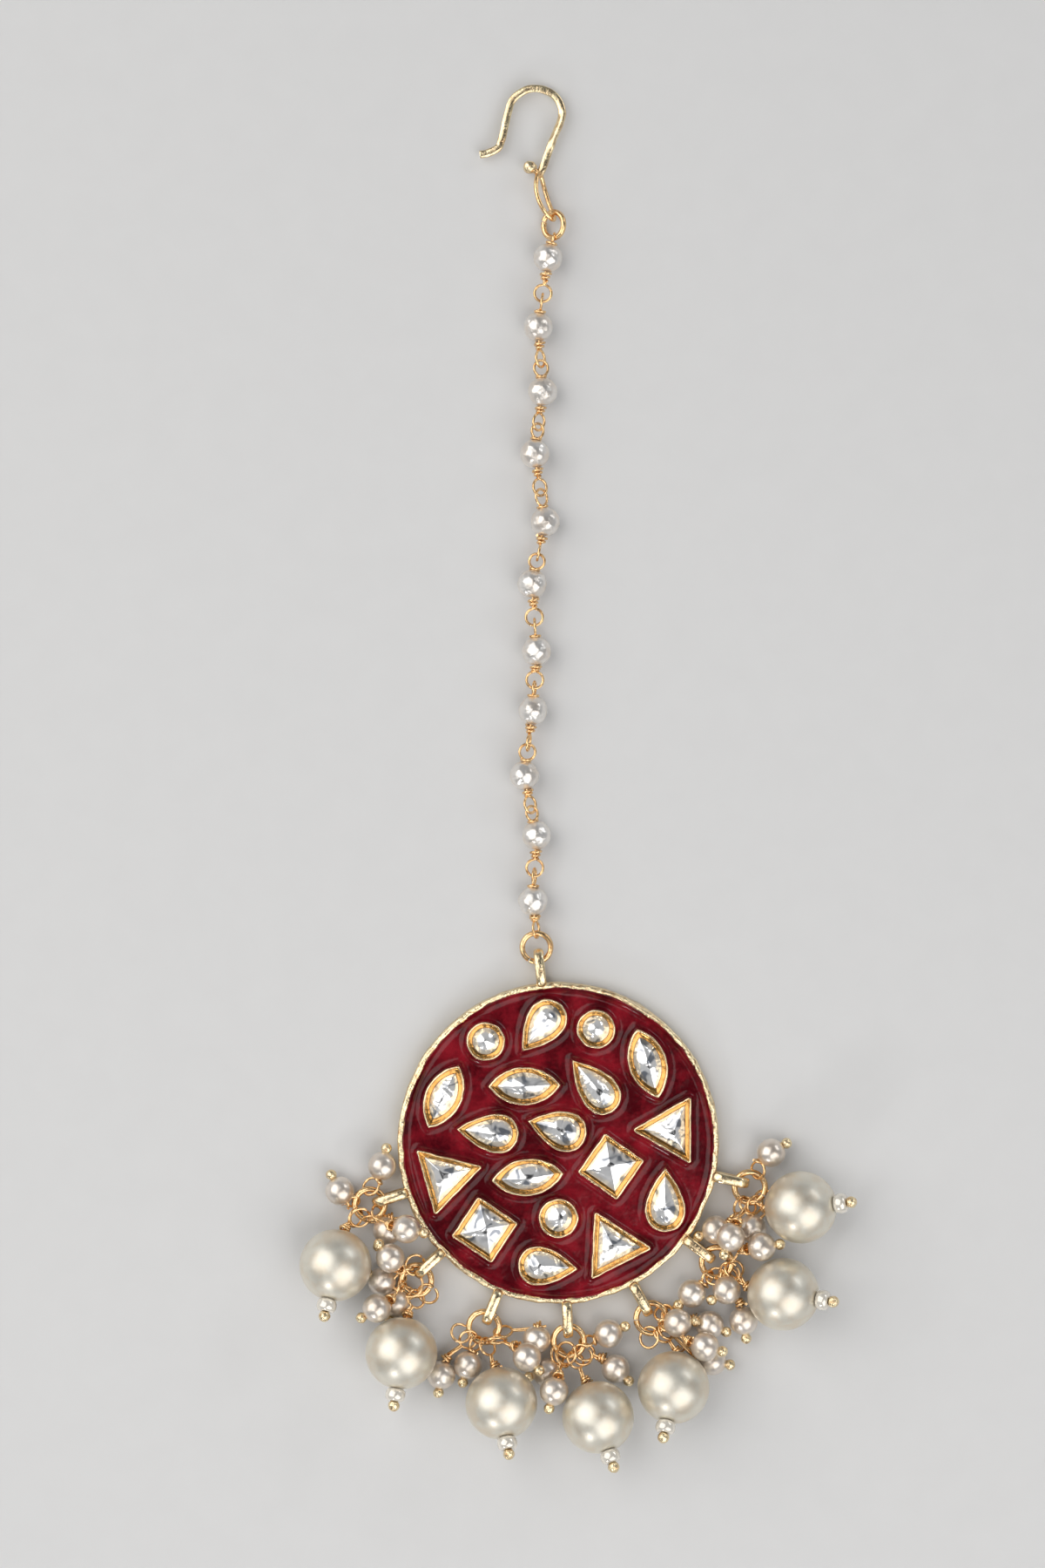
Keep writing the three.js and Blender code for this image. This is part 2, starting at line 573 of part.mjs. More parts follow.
function largeDrop({ ring, x, y, heading, rise, seat }) {
  const centre = vec(x, y, PEARL_RADIUS);
  const outward = pointing(heading, rise);
  const at = (distance) => centre.clone().addScaledVector(outward, distance);
  const seed = new THREE.SphereGeometry(SEED_RADIUS, ...SEED_FACETS);
  seed.scale(1, SEED_HALF_LENGTH / SEED_RADIUS, 1);
  seed.applyQuaternion(new THREE.Quaternion().setFromUnitVectors(vec(0, 1, 0), outward));
  const seedAt = at(PEARL_RADIUS + SEED_HALF_LENGTH - SINK);
  const ballAt = at(PEARL_RADIUS + 2 * SEED_HALF_LENGTH + BALL_RADIUS - 2 * SINK);
  return joined([
    ball(centre, PEARL_RADIUS, PEARL_FACETS),
    solidOf(seed.translate(seedAt.x, seedAt.y, seedAt.z)),
    ball(ballAt, BALL_RADIUS, PEARL_BALL_FACETS),
    bar(at(-PEARL_RADIUS / 2), at(-PEARL_RADIUS - WRAP_LENGTH / 2), WRAP_RADIUS, THICK_BAR_SIDES),
    hanging(dropRings[ring], seat, at(-PEARL_RADIUS), EYE_CURVE, 0).solid,
  ]);
}

// The four small drops of a ring as one solid: a rod from each eye's inner end joins them in the
// middle of the ring.
function smallDrops(ring) {
  const frame = dropRings[ring];
  const reach = FRAME_RADIUS + LOOP_REACH + HUB_CLEARANCE;
  const hub = frame.out.clone().multiplyScalar(reach).setZ(RING_HEIGHT);
  const solids = [];
  for (const { x, y, z, heading, seat } of SMALL_DROPS.filter((drop) => drop.ring === ring)) {
    const centre = vec(x, y, z);
    const outward = pointing(heading);
    const at = (distance) => centre.clone().addScaledVector(outward, distance);
    const hole = at(-BEAD_RADIUS + SINK);
    const { far, solid } = hanging(frame, seat, hole, SMALL_EYE_CURVE, SMALL_EYE_SLACK);
    solids.push(
      ball(centre, BEAD_RADIUS, SMALL_BEAD_FACETS),
      ball(at(BEAD_RADIUS + BALL_RADIUS - SINK), BALL_RADIUS, SMALL_BALL_FACETS),
      solid,
      bar(far, hub, PIN_WIRE),
    );
  }
  return joined(solids);
}

// ---- assembly -----------------------------------------------------------------------------------

const numbered = (i) => String(i + 1).padStart(2, "0");

addPiece("disc_frame", frame(), GOLD);
addPiece("enamel_field", enamel(), ENAMEL);
STONES.forEach((stone, i) => addPiece(`stone_${numbered(i)}_${stone.shape}`, glassStone(stone), GLASS));
addPiece("hair_hook", hairHook(), GOLD);
addPiece("top_ring", jumpRing(topRing, TOP_RING.radius, TOP_RING.wire), GOLD);
CHAIN.forEach((_, i) => addPiece(`bead_link_${numbered(i)}`, beadLink(i), SMALL_PEARL));
addPiece("bail_ring", jumpRing(bailRing, BAIL_RING.radius, BAIL_RING.wire), GOLD);
for (const drop of LARGE_DROPS) {
  addPiece(`drop_ring_${drop.ring}`, jumpRing(dropRings[drop.ring], RING_RADIUS, RING_WIRE), GOLD);
  addPiece(`large_pearl_${drop.ring}`, largeDrop(drop), LARGE_PEARL);
  addPiece(`small_pearls_${drop.ring}`, smallDrops(drop.ring), SMALL_PEARL);
}

export default whole;
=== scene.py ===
"""A maang tikka, an Indian forehead jewel, lying face up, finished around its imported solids."""

import math

import bpy
from bpy.props import FloatProperty, FloatVectorProperty, IntProperty, PointerProperty
from mathutils import Matrix, Vector, noise


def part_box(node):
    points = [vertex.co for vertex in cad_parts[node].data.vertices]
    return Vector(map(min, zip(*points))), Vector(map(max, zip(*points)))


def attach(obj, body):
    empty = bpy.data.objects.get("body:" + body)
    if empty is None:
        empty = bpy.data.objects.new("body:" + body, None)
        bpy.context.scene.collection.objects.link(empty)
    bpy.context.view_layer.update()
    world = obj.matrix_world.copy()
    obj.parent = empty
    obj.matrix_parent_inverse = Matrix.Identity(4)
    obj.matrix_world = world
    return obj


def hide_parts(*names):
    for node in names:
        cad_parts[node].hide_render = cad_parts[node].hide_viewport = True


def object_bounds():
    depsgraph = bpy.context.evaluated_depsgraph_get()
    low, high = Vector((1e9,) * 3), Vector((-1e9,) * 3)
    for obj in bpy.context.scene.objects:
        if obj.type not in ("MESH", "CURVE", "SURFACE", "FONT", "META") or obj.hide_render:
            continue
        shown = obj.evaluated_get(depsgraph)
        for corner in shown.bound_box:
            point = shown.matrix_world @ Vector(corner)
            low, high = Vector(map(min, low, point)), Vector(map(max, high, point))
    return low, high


bl_info = {
    "name": "Maang Tikka",
    "version": (1, 0, 0),
    "blender": (4, 5, 0),
    "location": "3D View > Sidebar > Jewel",
    "description": "Builds an enamelled forehead jewel with foil-backed stones and pearls",
    "category": "Add Mesh",
}

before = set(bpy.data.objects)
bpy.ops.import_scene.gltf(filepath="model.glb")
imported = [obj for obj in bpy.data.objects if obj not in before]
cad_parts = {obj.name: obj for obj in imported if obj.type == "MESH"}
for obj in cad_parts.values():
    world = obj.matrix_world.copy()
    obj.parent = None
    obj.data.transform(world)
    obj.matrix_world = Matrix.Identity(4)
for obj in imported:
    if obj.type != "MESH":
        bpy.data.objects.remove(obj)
SOLID_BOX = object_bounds()

MM = 0.001
UP = Vector((0, 0, 1))

# The solids' own sizes that their boxes don't show.
STONE_INSET = 0.62 * MM
LOOP_REACH = 4.0 * MM
PEARL_RADIUS = 4.1 * MM
BEAD_RADIUS = 1.65 * MM
CHAIN_MEET = 0.57
# How deep a wire starts in a pearl's hole, and how much of a bezel's wall its lip takes up.
HOLE_DEPTH = 0.05 * MM
LIP_SHARE = 0.85
OUTLINE_COUNT = 96
CORNER_ROUNDING = 0.3 * MM
# How much shorter a stone's outline gets for each step inwards, and how far a pear's middle moves.
PEAR_INSET = 2.4
PEAR_SHIFT = 0.2
MARQUISE_INSET = 1.6

RING_NAMES = "abcdefg"
DROP_ANGLES = [198 + 25 * i for i in range(len(RING_NAMES))]
BAIL_ANGLE = 96

# Where each large pearl's seed bead points, how far it rises, and where on the ring its eye hangs, all in
# degrees.
LARGE_DROPS = [
    # ring, heading, rise, seat
    ("a", 258, 19, 24),
    ("b", 262, 12, 54),
    ("c", 279, 24, 28),
    ("d", 288, 20, 15),
    ("e", 257, 24, 6),
    ("f", 354, 22, 25),
    ("g", 8, 20, -15),
]

# Small pearls, four on each ring: the centre in millimetres, and in degrees where the gold ball points,
# where on the ring the eye hangs and how far it leans over.
SMALL_DROPS = [
    # ring, x, y, z, heading, seat, lean
    ("a", -20.15, -2.6, 1.7, 77, -100, 40),
    ("a", -25.0, -5.45, 1.7, 118, -30, 60),
    ("a", -17.35, -9.55, 4.2, -13, 100, 35),
    ("a", -19.6, -10.0, 1.7, 241, 66, 50),
    ("b", -19.15, -12.9, 4.0, 130, -85, 45),
    ("b", -20.2, -15.8, 1.7, 147, -52, 60),
    ("b", -20.7, -18.6, 4.1, 212, -12, 40),
    ("b", -18.6, -18.3, 1.7, 250, 20, 60),
    ("c", -13.4, -26.5, 1.7, 261, -30, 70),
    ("c", -10.35, -25.4, 1.7, 254, -4, 50),
    ("c", -3.6, -24.15, 4.2, -48, 62, 50),
    ("c", -2.5, -22.5, 1.7, 250, 92, 30),
    ("d", -1.4, -26.2, 1.7, 195, -55, 50),
    ("d", -0.5, -28.0, 4.4, 254, -24, 60),
    ("d", 6.55, -25.8, 1.7, -43, 48, 55),
    ("d", 5.75, -21.8, 1.7, 24, 86, 35),
    ("e", 17.6, -24.9, 1.7, -12, 26, 50),
    ("e", 16.65, -22.95, 4.3, -15, 50, 45),
    ("e", 17.3, -20.8, 1.7, -22, 74, 60),
    ("e", 13.6, -20.4, 3.0, 5, 100, 30),
    ("f", 15.3, -17.2, 1.7, 220, -84, 45),
    ("f", 19.25, -16.75, 2.3, 213, -36, 55),
    ("f", 21.2, -20.3, 1.7, -82, -8, 65),
    ("f", 23.15, -11.6, 4.2, 8, 66, 35),
    ("g", 18.0, -9.9, 1.7, 200, -105, 40),
    ("g", 19.6, -10.5, 4.3, 250, -78, 60),
    ("g", 22.2, -9.75, 1.7, 280, -50, 45),
    ("g", 24.35, -1.1, 1.7, 32, 72, 50),
]

# Thin loops that lie loose round the drop rings: the middle and the radius in millimetres, and how far the
# loop is tipped over, about which heading, in degrees.
LOOSE_LOOPS = [
    # ring, x, y, radius, tip, heading
    ("a", -22.7, -8.5, 1.15, 28, 30),
    ("a", -20.6, -8.1, 1.0, 58, 120),
    ("b", -16.4, -13.9, 1.15, 22, 70),
    ("b", -16.9, -16.2, 1.4, 20, 200),
    ("b", -14.9, -17.2, 1.15, 24, 320),
    ("c", -11.2, -21.7, 1.1, 35, 140),
    ("c", -7.2, -22.6, 1.2, 66, 5),
    ("d", 0.9, -24.0, 1.25, 30, 260),
    ("d", 2.7, -24.2, 1.2, 24, 300),
    ("e", 10.4, -22.2, 1.2, 34, 250),
    ("f", 19.6, -14.8, 1.2, 26, 290),
    ("f", 18.0, -15.2, 1.1, 40, 200),
    ("g", 22.6, -7.6, 1.1, 30, 330),
]
LOOP_HEIGHT = 1.9 * MM

# The hook's centre line from its tip to the shank's foot, in millimetres.
HOOK_LINE = [
    (-9.0, 113.2),
    (-8.0, 113.4),
    (-6.9, 114.0),
    (-6.5, 114.9),
    (-5.8, 117.9),
    (-5.2, 119.5),
    (-3.7, 120.6),
    (-2.0, 120.7),
    (-0.5, 120.0),
    (0.35, 118.6),
    (0.3, 117.2),
    (-0.7, 114.7),
    (-1.7, 111.9),
    (-2.2, 110.8),
]
HOOK_HEIGHT = 1.0 * MM
HOOK_HALF_WIDTH, HOOK_HALF_THICKNESS = 0.45 * MM, 0.30 * MM
# The long eye below the hook: its two ends, its half width, how far it bows, and how far it leans over.
HOOK_EYE = [(-2.2, 110.9), (-0.55, 105.7)]
HOOK_EYE_HEIGHT = 1.5 * MM
HOOK_EYE_HALF_WIDTH = 1.15 * MM
HOOK_EYE_BOW = 0.45 * MM
HOOK_EYE_LEAN = 118
HOOK_BALL = (-3.25, 111.7)
# Where the hook's shank turns on edge, and how far.
TWIST = math.radians(42)
TWIST_MIDDLE = 116.2 * MM
TWIST_REACH = 2.4 * MM

# The top ring is tilted, so its box is narrower than it is. The chain hangs TOP_RING_HOLD below its middle.
TOP_RING_RADIUS = 1.48 * MM
TOP_RING_HOLD = 1.45 * MM
TOP_RING_TILT = -40


# ---- sizes and colours that a user would change --------------------------------------------------


def length(name, description, millimetres):
    return FloatProperty(
        name=name, description=description, default=millimetres * MM, min=0, unit="LENGTH", precision=5
    )


def colour(name, description, red, green, blue):
    default = (red, green, blue)
    return FloatVectorProperty(
        name=name, description=description, default=default, subtype="COLOR", size=3, min=0, max=1
    )


class JewelSizes(bpy.types.PropertyGroup):
    wire_radius: length("Wire", "Radius of the eye pins' wire", 0.16)
    ring_wire: length("Ring Wire", "Radius of the jump rings' wire", 0.35)
    eye_radius: length("Eye", "Radius of an eye's middle line", 1.05)
    bezel_wall: length("Bezel Wall", "Thickness of a stone's bezel", 0.30)
    foil_width: length("Foil Width", "Width of the gold foil between a bezel and its stone", 0.46)
    enamel_level: length("Enamel Level", "Height of the enamel away from its edges", 1.55)
    enamel_climb: length("Enamel Climb", "How far the enamel climbs at a bezel", 0.85)
    dent_depth: length("Dent Depth", "Depth of the hammer marks", 0.09)
    wrap_turns: FloatProperty(
        name="Wrap Turns", description="Turns of wire against a pearl", default=2.6, min=0, max=8
    )
    wire_sides: IntProperty(
        name="Wire Sides", description="Sides of a round wire", default=10, min=6, max=24
    )


class JewelColours(bpy.types.PropertyGroup):
    gold: colour("Gold", "Worn high places of the plating", 1.0, 0.84, 0.54)
    # Gold Shade is painted shade: the brown that darkens the dents where shade would fall in them.
    gold_painted_shade: colour("Gold Shade", "Darker plating in the dents", 0.42, 0.16, 0.035)
    wire: colour("Wire", "Rings, pins and wraps", 1.0, 0.69, 0.36)
    # The foil's own colour is orange gold, made darker too as painted shade for the recess inside each
    # bezel.
    foil: colour("Foil", "Foil round the stones", 0.72, 0.39, 0.12)
    enamel: colour("Enamel", "The enamel where it is deep", 0.070, 0.001, 0.004)
    enamel_thin: colour("Thin Enamel", "The enamel where it is thin", 0.25, 0.007, 0.016)
    # Enamel Edge is painted shade: the almost black that the enamel turns next to each bezel and the rim.
    enamel_edge_shade: colour("Enamel Edge", "The enamel against a bezel", 0.010, 0.0, 0.001)
    stone: colour("Stone", "Bright foil seen through a stone", 0.96, 0.96, 0.97)
    stone_shade: colour("Stone Shade", "A facet turned from the light", 0.24, 0.26, 0.30)
    large_pearl: colour("Large Pearl", "Body of the large pearls", 0.77, 0.735, 0.64)
    small_pearl: colour("Small Pearl", "Body of the small pearls", 0.80, 0.73, 0.655)
    chain_pearl: colour("Chain Pearl", "Body of the pearls of the chain", 0.82, 0.79, 0.75)
    seed_bead: colour("Seed Bead", "Glass of the seed beads", 0.84, 0.79, 0.70)


class JewelStage(bpy.types.PropertyGroup):
    floor: colour("Floor", "The plain floor", 0.66, 0.66, 0.66)
    lens: FloatProperty(name="Lens", description="The camera's lens", default=100, min=10, unit="CAMERA")
    view_height: length("View Height", "Length of floor that the view takes in, top to bottom", 180)
    lamp_power: FloatProperty(
        name="Lamp Power", description="Power of the main lamp", default=2.4, min=0, unit="POWER"
    )


# ---- nodes ---------------------------------------------------------------------------------------


def fill(tree, node, inputs):
    """Links or sets a node's inputs."""
    for key, value in inputs.items():
        if isinstance(value, bpy.types.NodeSocket):
            tree.links.new(value, node.inputs[key])
        else:
            node.inputs[key].default_value = value


def add_node(tree, kind, inputs=None, **settings):
    """Adds a node, sets it up and links or fills its inputs."""
    node = tree.nodes.new(kind)
    for key, value in settings.items():
        setattr(node, key, value)
    fill(tree, node, inputs or {})
    return node


def maths(tree, operation, *values):
    """The result of a Math node."""
    return add_node(tree, "ShaderNodeMath", dict(enumerate(values)), operation=operation).outputs[0]


def scaled(tree, vector, factor):
    """A vector times a number."""
    sockets = {0: vector, "Scale": factor}
    return add_node(tree, "ShaderNodeVectorMath", sockets, operation="SCALE").outputs[0]


def moved(tree, geometry, **where):
    """A geometry with its points moved, by an Offset or to a Position."""
    return add_node(tree, "GeometryNodeSetPosition", {"Geometry": geometry, **where}).outputs[0]


def shape_tree(name, sizes):
    """A Geometry Nodes tree with a geometry input, named number inputs and a material input."""
    tree = bpy.data.node_groups.new(name, "GeometryNodeTree")
    tree.interface.new_socket("Geometry", in_out="INPUT", socket_type="NodeSocketGeometry")
    for label, default in sizes.items():
        kind = "NodeSocketInt" if isinstance(default, int) else "NodeSocketFloat"
        tree.interface.new_socket(label, in_out="INPUT", socket_type=kind).default_value = default
    tree.interface.new_socket("Material", in_out="INPUT", socket_type="NodeSocketMaterial")
    tree.interface.new_socket("Geometry", in_out="OUTPUT", socket_type="NodeSocketGeometry")
    return tree, tree.nodes.new("NodeGroupInput").outputs


def end_tree(tree, geometry, given):
    """Smooth shading, real instances and the material, then the output."""
    smooth = add_node(tree, "GeometryNodeSetShadeSmooth", {"Geometry": geometry})
    real = add_node(tree, "GeometryNodeRealizeInstances", {"Geometry": smooth.outputs[0]})
    painted = add_node(
        tree, "GeometryNodeSetMaterial", {"Geometry": real.outputs[0], "Material": given["Material"]}
    )
    add_node(tree, "NodeGroupOutput", {"Geometry": painted.outputs[0]})
    return tree


# Soft noise stays within about a quarter of its middle, so this brings its peaks to the full depth.
NOISE_GAIN = 4.0
DENTS = {"Dent Depth": 0.03 * MM, "Dent Size": 0.8 * MM, "Seed": 1.0}


def dented(tree, geometry, given):
    """Pushes a surface in and out by soft noise: Dent Depth each way, over patches of Dent Size."""
    scale = maths(tree, "DIVIDE", 1.0, given["Dent Size"])
    bumps = add_node(
        tree,
        "ShaderNodeTexNoise",
        {"Scale": scale, "Detail": 1.5, "Roughness": 0.5, "W": given["Seed"]},
        noise_dimensions="4D",
    )
    centred = maths(tree, "SUBTRACT", bumps.outputs[0], 0.5)
    push = maths(tree, "MULTIPLY", maths(tree, "MULTIPLY", centred, given["Dent Depth"]), NOISE_GAIN)
    normal = add_node(tree, "GeometryNodeInputNormal").outputs[0]
    return moved(tree, geometry, Offset=scaled(tree, normal, push))


def hammered_tree():
    """Hammer marks on any closed metal shape."""
    tree, given = shape_tree("Hammered Metal", DENTS)
    return end_tree(tree, dented(tree, given["Geometry"], given), given)


def wire_tree():
    """Round wire along every chain of edges, closed at its ends."""
    tree, given = shape_tree("Round Wire", {"Wire Radius": 0.16 * MM, "Sides": 10, **DENTS})
    path = add_node(tree, "GeometryNodeMeshToCurve", {"Mesh": given["Geometry"]}).outputs[0]
    section = add_node(
        tree,
        "GeometryNodeCurvePrimitiveCircle",
        {"Resolution": given["Sides"], "Radius": given["Wire Radius"]},
        mode="RADIUS",
    ).outputs[0]
    sockets = {"Curve": path, "Profile Curve": section, "Fill Caps": True}
    wire = add_node(tree, "GeometryNodeCurveToMesh", sockets).outputs[0]
    return end_tree(tree, dented(tree, wire, given), given)


def pearl_tree():
    """A drilled pearl on every point, along its drill attribute and with its size attribute as radius."""
    sizes = {"Subdivisions": 5, "Dimple": 0.06, "Dimple Size": 0.16}
    tree, given = shape_tree("Drilled Pearl", {**sizes, **DENTS})
    sockets = {"Radius": 1.0, "Subdivisions": given["Subdivisions"]}
    ball = add_node(tree, "GeometryNodeMeshIcoSphere", sockets).outputs[0]
    place = add_node(tree, "GeometryNodeInputPosition").outputs[0]
    height = add_node(tree, "ShaderNodeSeparateXYZ", {0: place}).outputs["Z"]
    from_axis = maths(tree, "SUBTRACT", 1.0, maths(tree, "POWER", height, 2.0))
    spread = maths(tree, "MULTIPLY", given["Dimple Size"], given["Dimple Size"])
    share = maths(tree, "DIVIDE", from_axis, spread)
    near = maths(tree, "EXPONENT", maths(tree, "MULTIPLY", share, -1.0))
    kept = maths(tree, "SUBTRACT", 1.0, maths(tree, "MULTIPLY", near, given["Dimple"]))
    drilled = moved(tree, ball, Position=scaled(tree, place, kept))
    drill, size = (
        add_node(tree, "GeometryNodeInputNamedAttribute", {"Name": name}, data_type=kind).outputs[0]
        for name, kind in (("drill", "FLOAT_VECTOR"), ("size", "FLOAT"))
    )
    turn = add_node(tree, "FunctionNodeAlignRotationToVector", {"Vector": drill}, axis="Z").outputs[0]
    sockets = {"Points": given["Geometry"], "Instance": drilled, "Rotation": turn, "Scale": size}
    pearls = add_node(tree, "GeometryNodeInstanceOnPoints", sockets).outputs[0]
    real = add_node(tree, "GeometryNodeRealizeInstances", {"Geometry": pearls}).outputs[0]
    return end_tree(tree, dented(tree, real, given), given)


def enamel_tree():
    """A pool of enamel that climbs wherever it meets the outlines given as edges."""
    sizes = {"Radius": 18 * MM, "Level": 1.5 * MM, "Climb": 0.5 * MM, "Reach": 0.35 * MM}
    tree, given = shape_tree("Enamel Pool", {**sizes, "Resolution": 260, **DENTS})
    side = maths(tree, "MULTIPLY", given["Radius"], 2.0)
    count = given["Resolution"]
    sockets = {"Size X": side, "Size Y": side, "Vertices X": count, "Vertices Y": count}
    sheet = add_node(tree, "GeometryNodeMeshGrid", sockets).outputs[0]
    place = add_node(tree, "GeometryNodeInputPosition").outputs[0]
    far = add_node(tree, "ShaderNodeVectorMath", {0: place}, operation="LENGTH").outputs["Value"]
    outside = maths(tree, "GREATER_THAN", far, given["Radius"])
    sockets = {"Geometry": sheet, "Selection": outside}
    round_sheet = add_node(tree, "GeometryNodeDeleteGeometry", sockets).outputs[0]
    edge = add_node(tree, "GeometryNodeProximity", {0: given["Geometry"]}, target_element="EDGES")
    steepest = 0.97
    sockets = {"From Max": given["Reach"], "To Min": steepest, "To Max": 0.0}
    near = add_node(tree, "ShaderNodeMapRange", {"Value": edge.outputs["Distance"], **sockets}).outputs[0]
    root = maths(tree, "SQRT", maths(tree, "SUBTRACT", 1.0, maths(tree, "POWER", near, 2.0)))
    climb = maths(tree, "MULTIPLY", maths(tree, "SUBTRACT", 1.0, root), given["Climb"])
    height = maths(tree, "ADD", climb, given["Level"])
    lift = add_node(tree, "ShaderNodeCombineXYZ", {"Z": height}).outputs[0]
    # The nearness kept here drives the painted shade of the enamel next to the bezels and the rim.
    kept = add_node(
        tree,
        "GeometryNodeStoreNamedAttribute",
        {"Geometry": moved(tree, round_sheet, Offset=lift), "Name": "nearness", "Value": near},
        data_type="FLOAT",
        domain="POINT",
    ).outputs[0]
    return end_tree(tree, dented(tree, kept, given), given)


TREES = {"hammered": hammered_tree, "wire": wire_tree, "pearl": pearl_tree, "enamel": enamel_tree}


def tree_named(kind):
    if kind not in bpy.data.node_groups:
        made = TREES[kind]()
        made.name = kind
    return bpy.data.node_groups[kind]


def grown(name, source, kind, settings):
    """A plain object made by running one of the trees on a mesh."""
    tree = tree_named(kind)
    piece = bpy.data.objects.new(name, source)
    bpy.context.scene.collection.objects.link(piece)
    modifier = piece.modifiers.new("Shape", "NODES")
    modifier.node_group = tree
    for item in tree.interface.items_tree:
        if item.item_type == "SOCKET" and item.in_out == "INPUT" and item.name in settings:
            modifier[item.identifier] = settings[item.name]
    depsgraph = bpy.context.evaluated_depsgraph_get()
    made = bpy.data.meshes.new_from_object(piece.evaluated_get(depsgraph), depsgraph=depsgraph)
    made.name = name
    piece.modifiers.remove(modifier)
    piece.data = made
    return piece


# ---- finishes ------------------------------------------------------------------------------------


def new_finish(name):
    material = bpy.data.materials.new(name)
    material.use_nodes = True
    tree = material.node_tree
    tree.nodes.clear()
    shader = add_node(tree, "ShaderNodeBsdfPrincipled")
    add_node(tree, "ShaderNodeOutputMaterial", {"Surface": shader.outputs[0]})
    coords = add_node(tree, "ShaderNodeTexCoord")
    return material, tree, shader, coords.outputs["Object"]


def ramp(tree, factor, stops):
    """A colour ramp through (position, colour) stops."""
    node = add_node(tree, "ShaderNodeValToRGB", {"Fac": factor})
    elements = node.color_ramp.elements
    while len(elements) < len(stops):
        elements.new(0.5)
    for element, (position, shade) in zip(elements, stops):
        element.position = position
        element.color = (*shade, 1)
    return node.outputs["Color"]


def spread(tree, value, low, high):
    """A number from 0 to 1 mapped to low and high."""
    return add_node(tree, "ShaderNodeMapRange", {"Value": value, "To Min": low, "To Max": high}).outputs[0]


def bump(tree, height, depth, strength):
    node = add_node(tree, "ShaderNodeBump", {"Height": height, "Distance": depth, "Strength": strength})
    return node.outputs["Normal"]


def speckle(tree, place, size, detail=2.0):
    node = add_node(tree, "ShaderNodeTexNoise", {"Vector": place, "Scale": 1 / size, "Detail": detail})
    return node.outputs[0]


def blend(tree, one, other, share):
    """Mixes two colours."""
    return add_node(tree, "ShaderNodeMix", {0: share, 6: one, 7: other}, data_type="RGBA").outputs[2]


def gold_look(tree, place, colours, hue, pit_size, pit_depth, wear):
    """Plated metal: pale where it is worn high, with painted shade, brown, in its pits, and never evenly
    polished.
    """
    bright, shade = tuple(getattr(colours, hue)), tuple(colours.gold_painted_shade)
    pits = add_node(
        tree,
        "ShaderNodeTexVoronoi",
        {"Vector": place, "Scale": 1 / (pit_size * MM), "Smoothness": 0.7},
        feature="SMOOTH_F1",
    ).outputs["Distance"]
    grain = speckle(tree, place, 0.22 * MM, 4.0)
    patches = speckle(tree, place, 1.6 * MM)
    middle = tuple(0.4 * a + 0.6 * b for a, b in zip(shade, bright))
    # Painted shade: brown at the bottom of each pit, turning to the bright colour on the high places.
    tone = ramp(tree, pits, [(0.10, shade), (0.30, middle), (0.48, bright)])
    worn = ramp(tree, patches, [(0.35, middle), (0.60, bright)])
    return {
        "Base Color": blend(tree, tone, worn, wear),
        "Roughness": spread(tree, grain, 0.12, 0.30),
        "Normal": bump(tree, maths(tree, "ADD", pits, grain), pit_depth * MM, 0.7),
        "Metallic": 1.0,
    }


def enamel_look(tree, place, colours):
    """Glassy enamel: painted shade, almost black, where it climbs a bezel or the rim, and redder where it is
    thin.
    """
    nearness = add_node(tree, "ShaderNodeAttribute", attribute_name="nearness").outputs["Fac"]
    clouds = speckle(tree, place, 3.0 * MM, 4.0)
    grain = speckle(tree, place, 0.4 * MM, 3.0)
    mottle = maths(tree, "MULTIPLY_ADD", grain, 0.25, clouds)
    body = ramp(tree, mottle, [(0.50, tuple(colours.enamel)), (0.79, tuple(colours.enamel_thin))])
    # Painted shade: the nearer a bezel or the rim, the more the body turns to the almost black edge colour.
    edge = ramp(tree, nearness, [(0.05, (0, 0, 0)), (0.35, (0.7, 0.7, 0.7)), (0.7, (1, 1, 1))])
    return {
        "Base Color": blend(tree, body, (*colours.enamel_edge_shade, 1), edge),
        "Roughness": spread(tree, clouds, 0.10, 0.24),
        "Normal": bump(tree, speckle(tree, place, 1.1 * MM), 0.12 * MM, 0.35),
        "IOR": 1.45,
        "Specular IOR Level": 0.34,
    }


def stone_look(tree, place, colours):
    """Clear glass over silver foil: soft swirls of bright foil and painted facet shade, with a few painted
    dark reflections near the crown.
    """
    sockets = {"Vector": place, "Scale": 1 / (1.9 * MM), "Detail": 0.6, "Distortion": 1.6}
    swirls = add_node(tree, "ShaderNodeTexNoise", sockets).outputs[0]
    crown = add_node(tree, "ShaderNodeAttribute", attribute_name="crown").outputs["Fac"]
    bright, shade = tuple(colours.stone), tuple(colours.stone_shade)
    middle = tuple(0.3 * a + 0.7 * b for a, b in zip(shade, bright))
    dark = tuple(0.12 * a for a in shade)
    # Painted shade: the swirls run from the colour of a facet turned from the light to the bright foil.
    body = ramp(tree, swirls, [(0.32, shade), (0.40, middle), (0.47, bright)])
    # Painted reflection: dark spots near the crown, standing for the dark overhead, where the swirls and the
    # crown add up high.
    crown_reflection_mix = maths(tree, "MULTIPLY", maths(tree, "ADD", swirls, crown), 0.5)
    painted_reflection_mask = ramp(tree, crown_reflection_mix, [(0.68, (0, 0, 0)), (0.73, (0.9, 0.9, 0.9))])
    return {
        "Base Color": blend(tree, body, (*dark, 1), painted_reflection_mask),
        "Roughness": spread(tree, swirls, 0.06, 0.22),
        "Normal": bump(tree, swirls, 0.32 * MM, 0.5),
        "Metallic": 0.65,
        "Coat Weight": 1.0,
        "Coat Roughness": 0.02,
    }


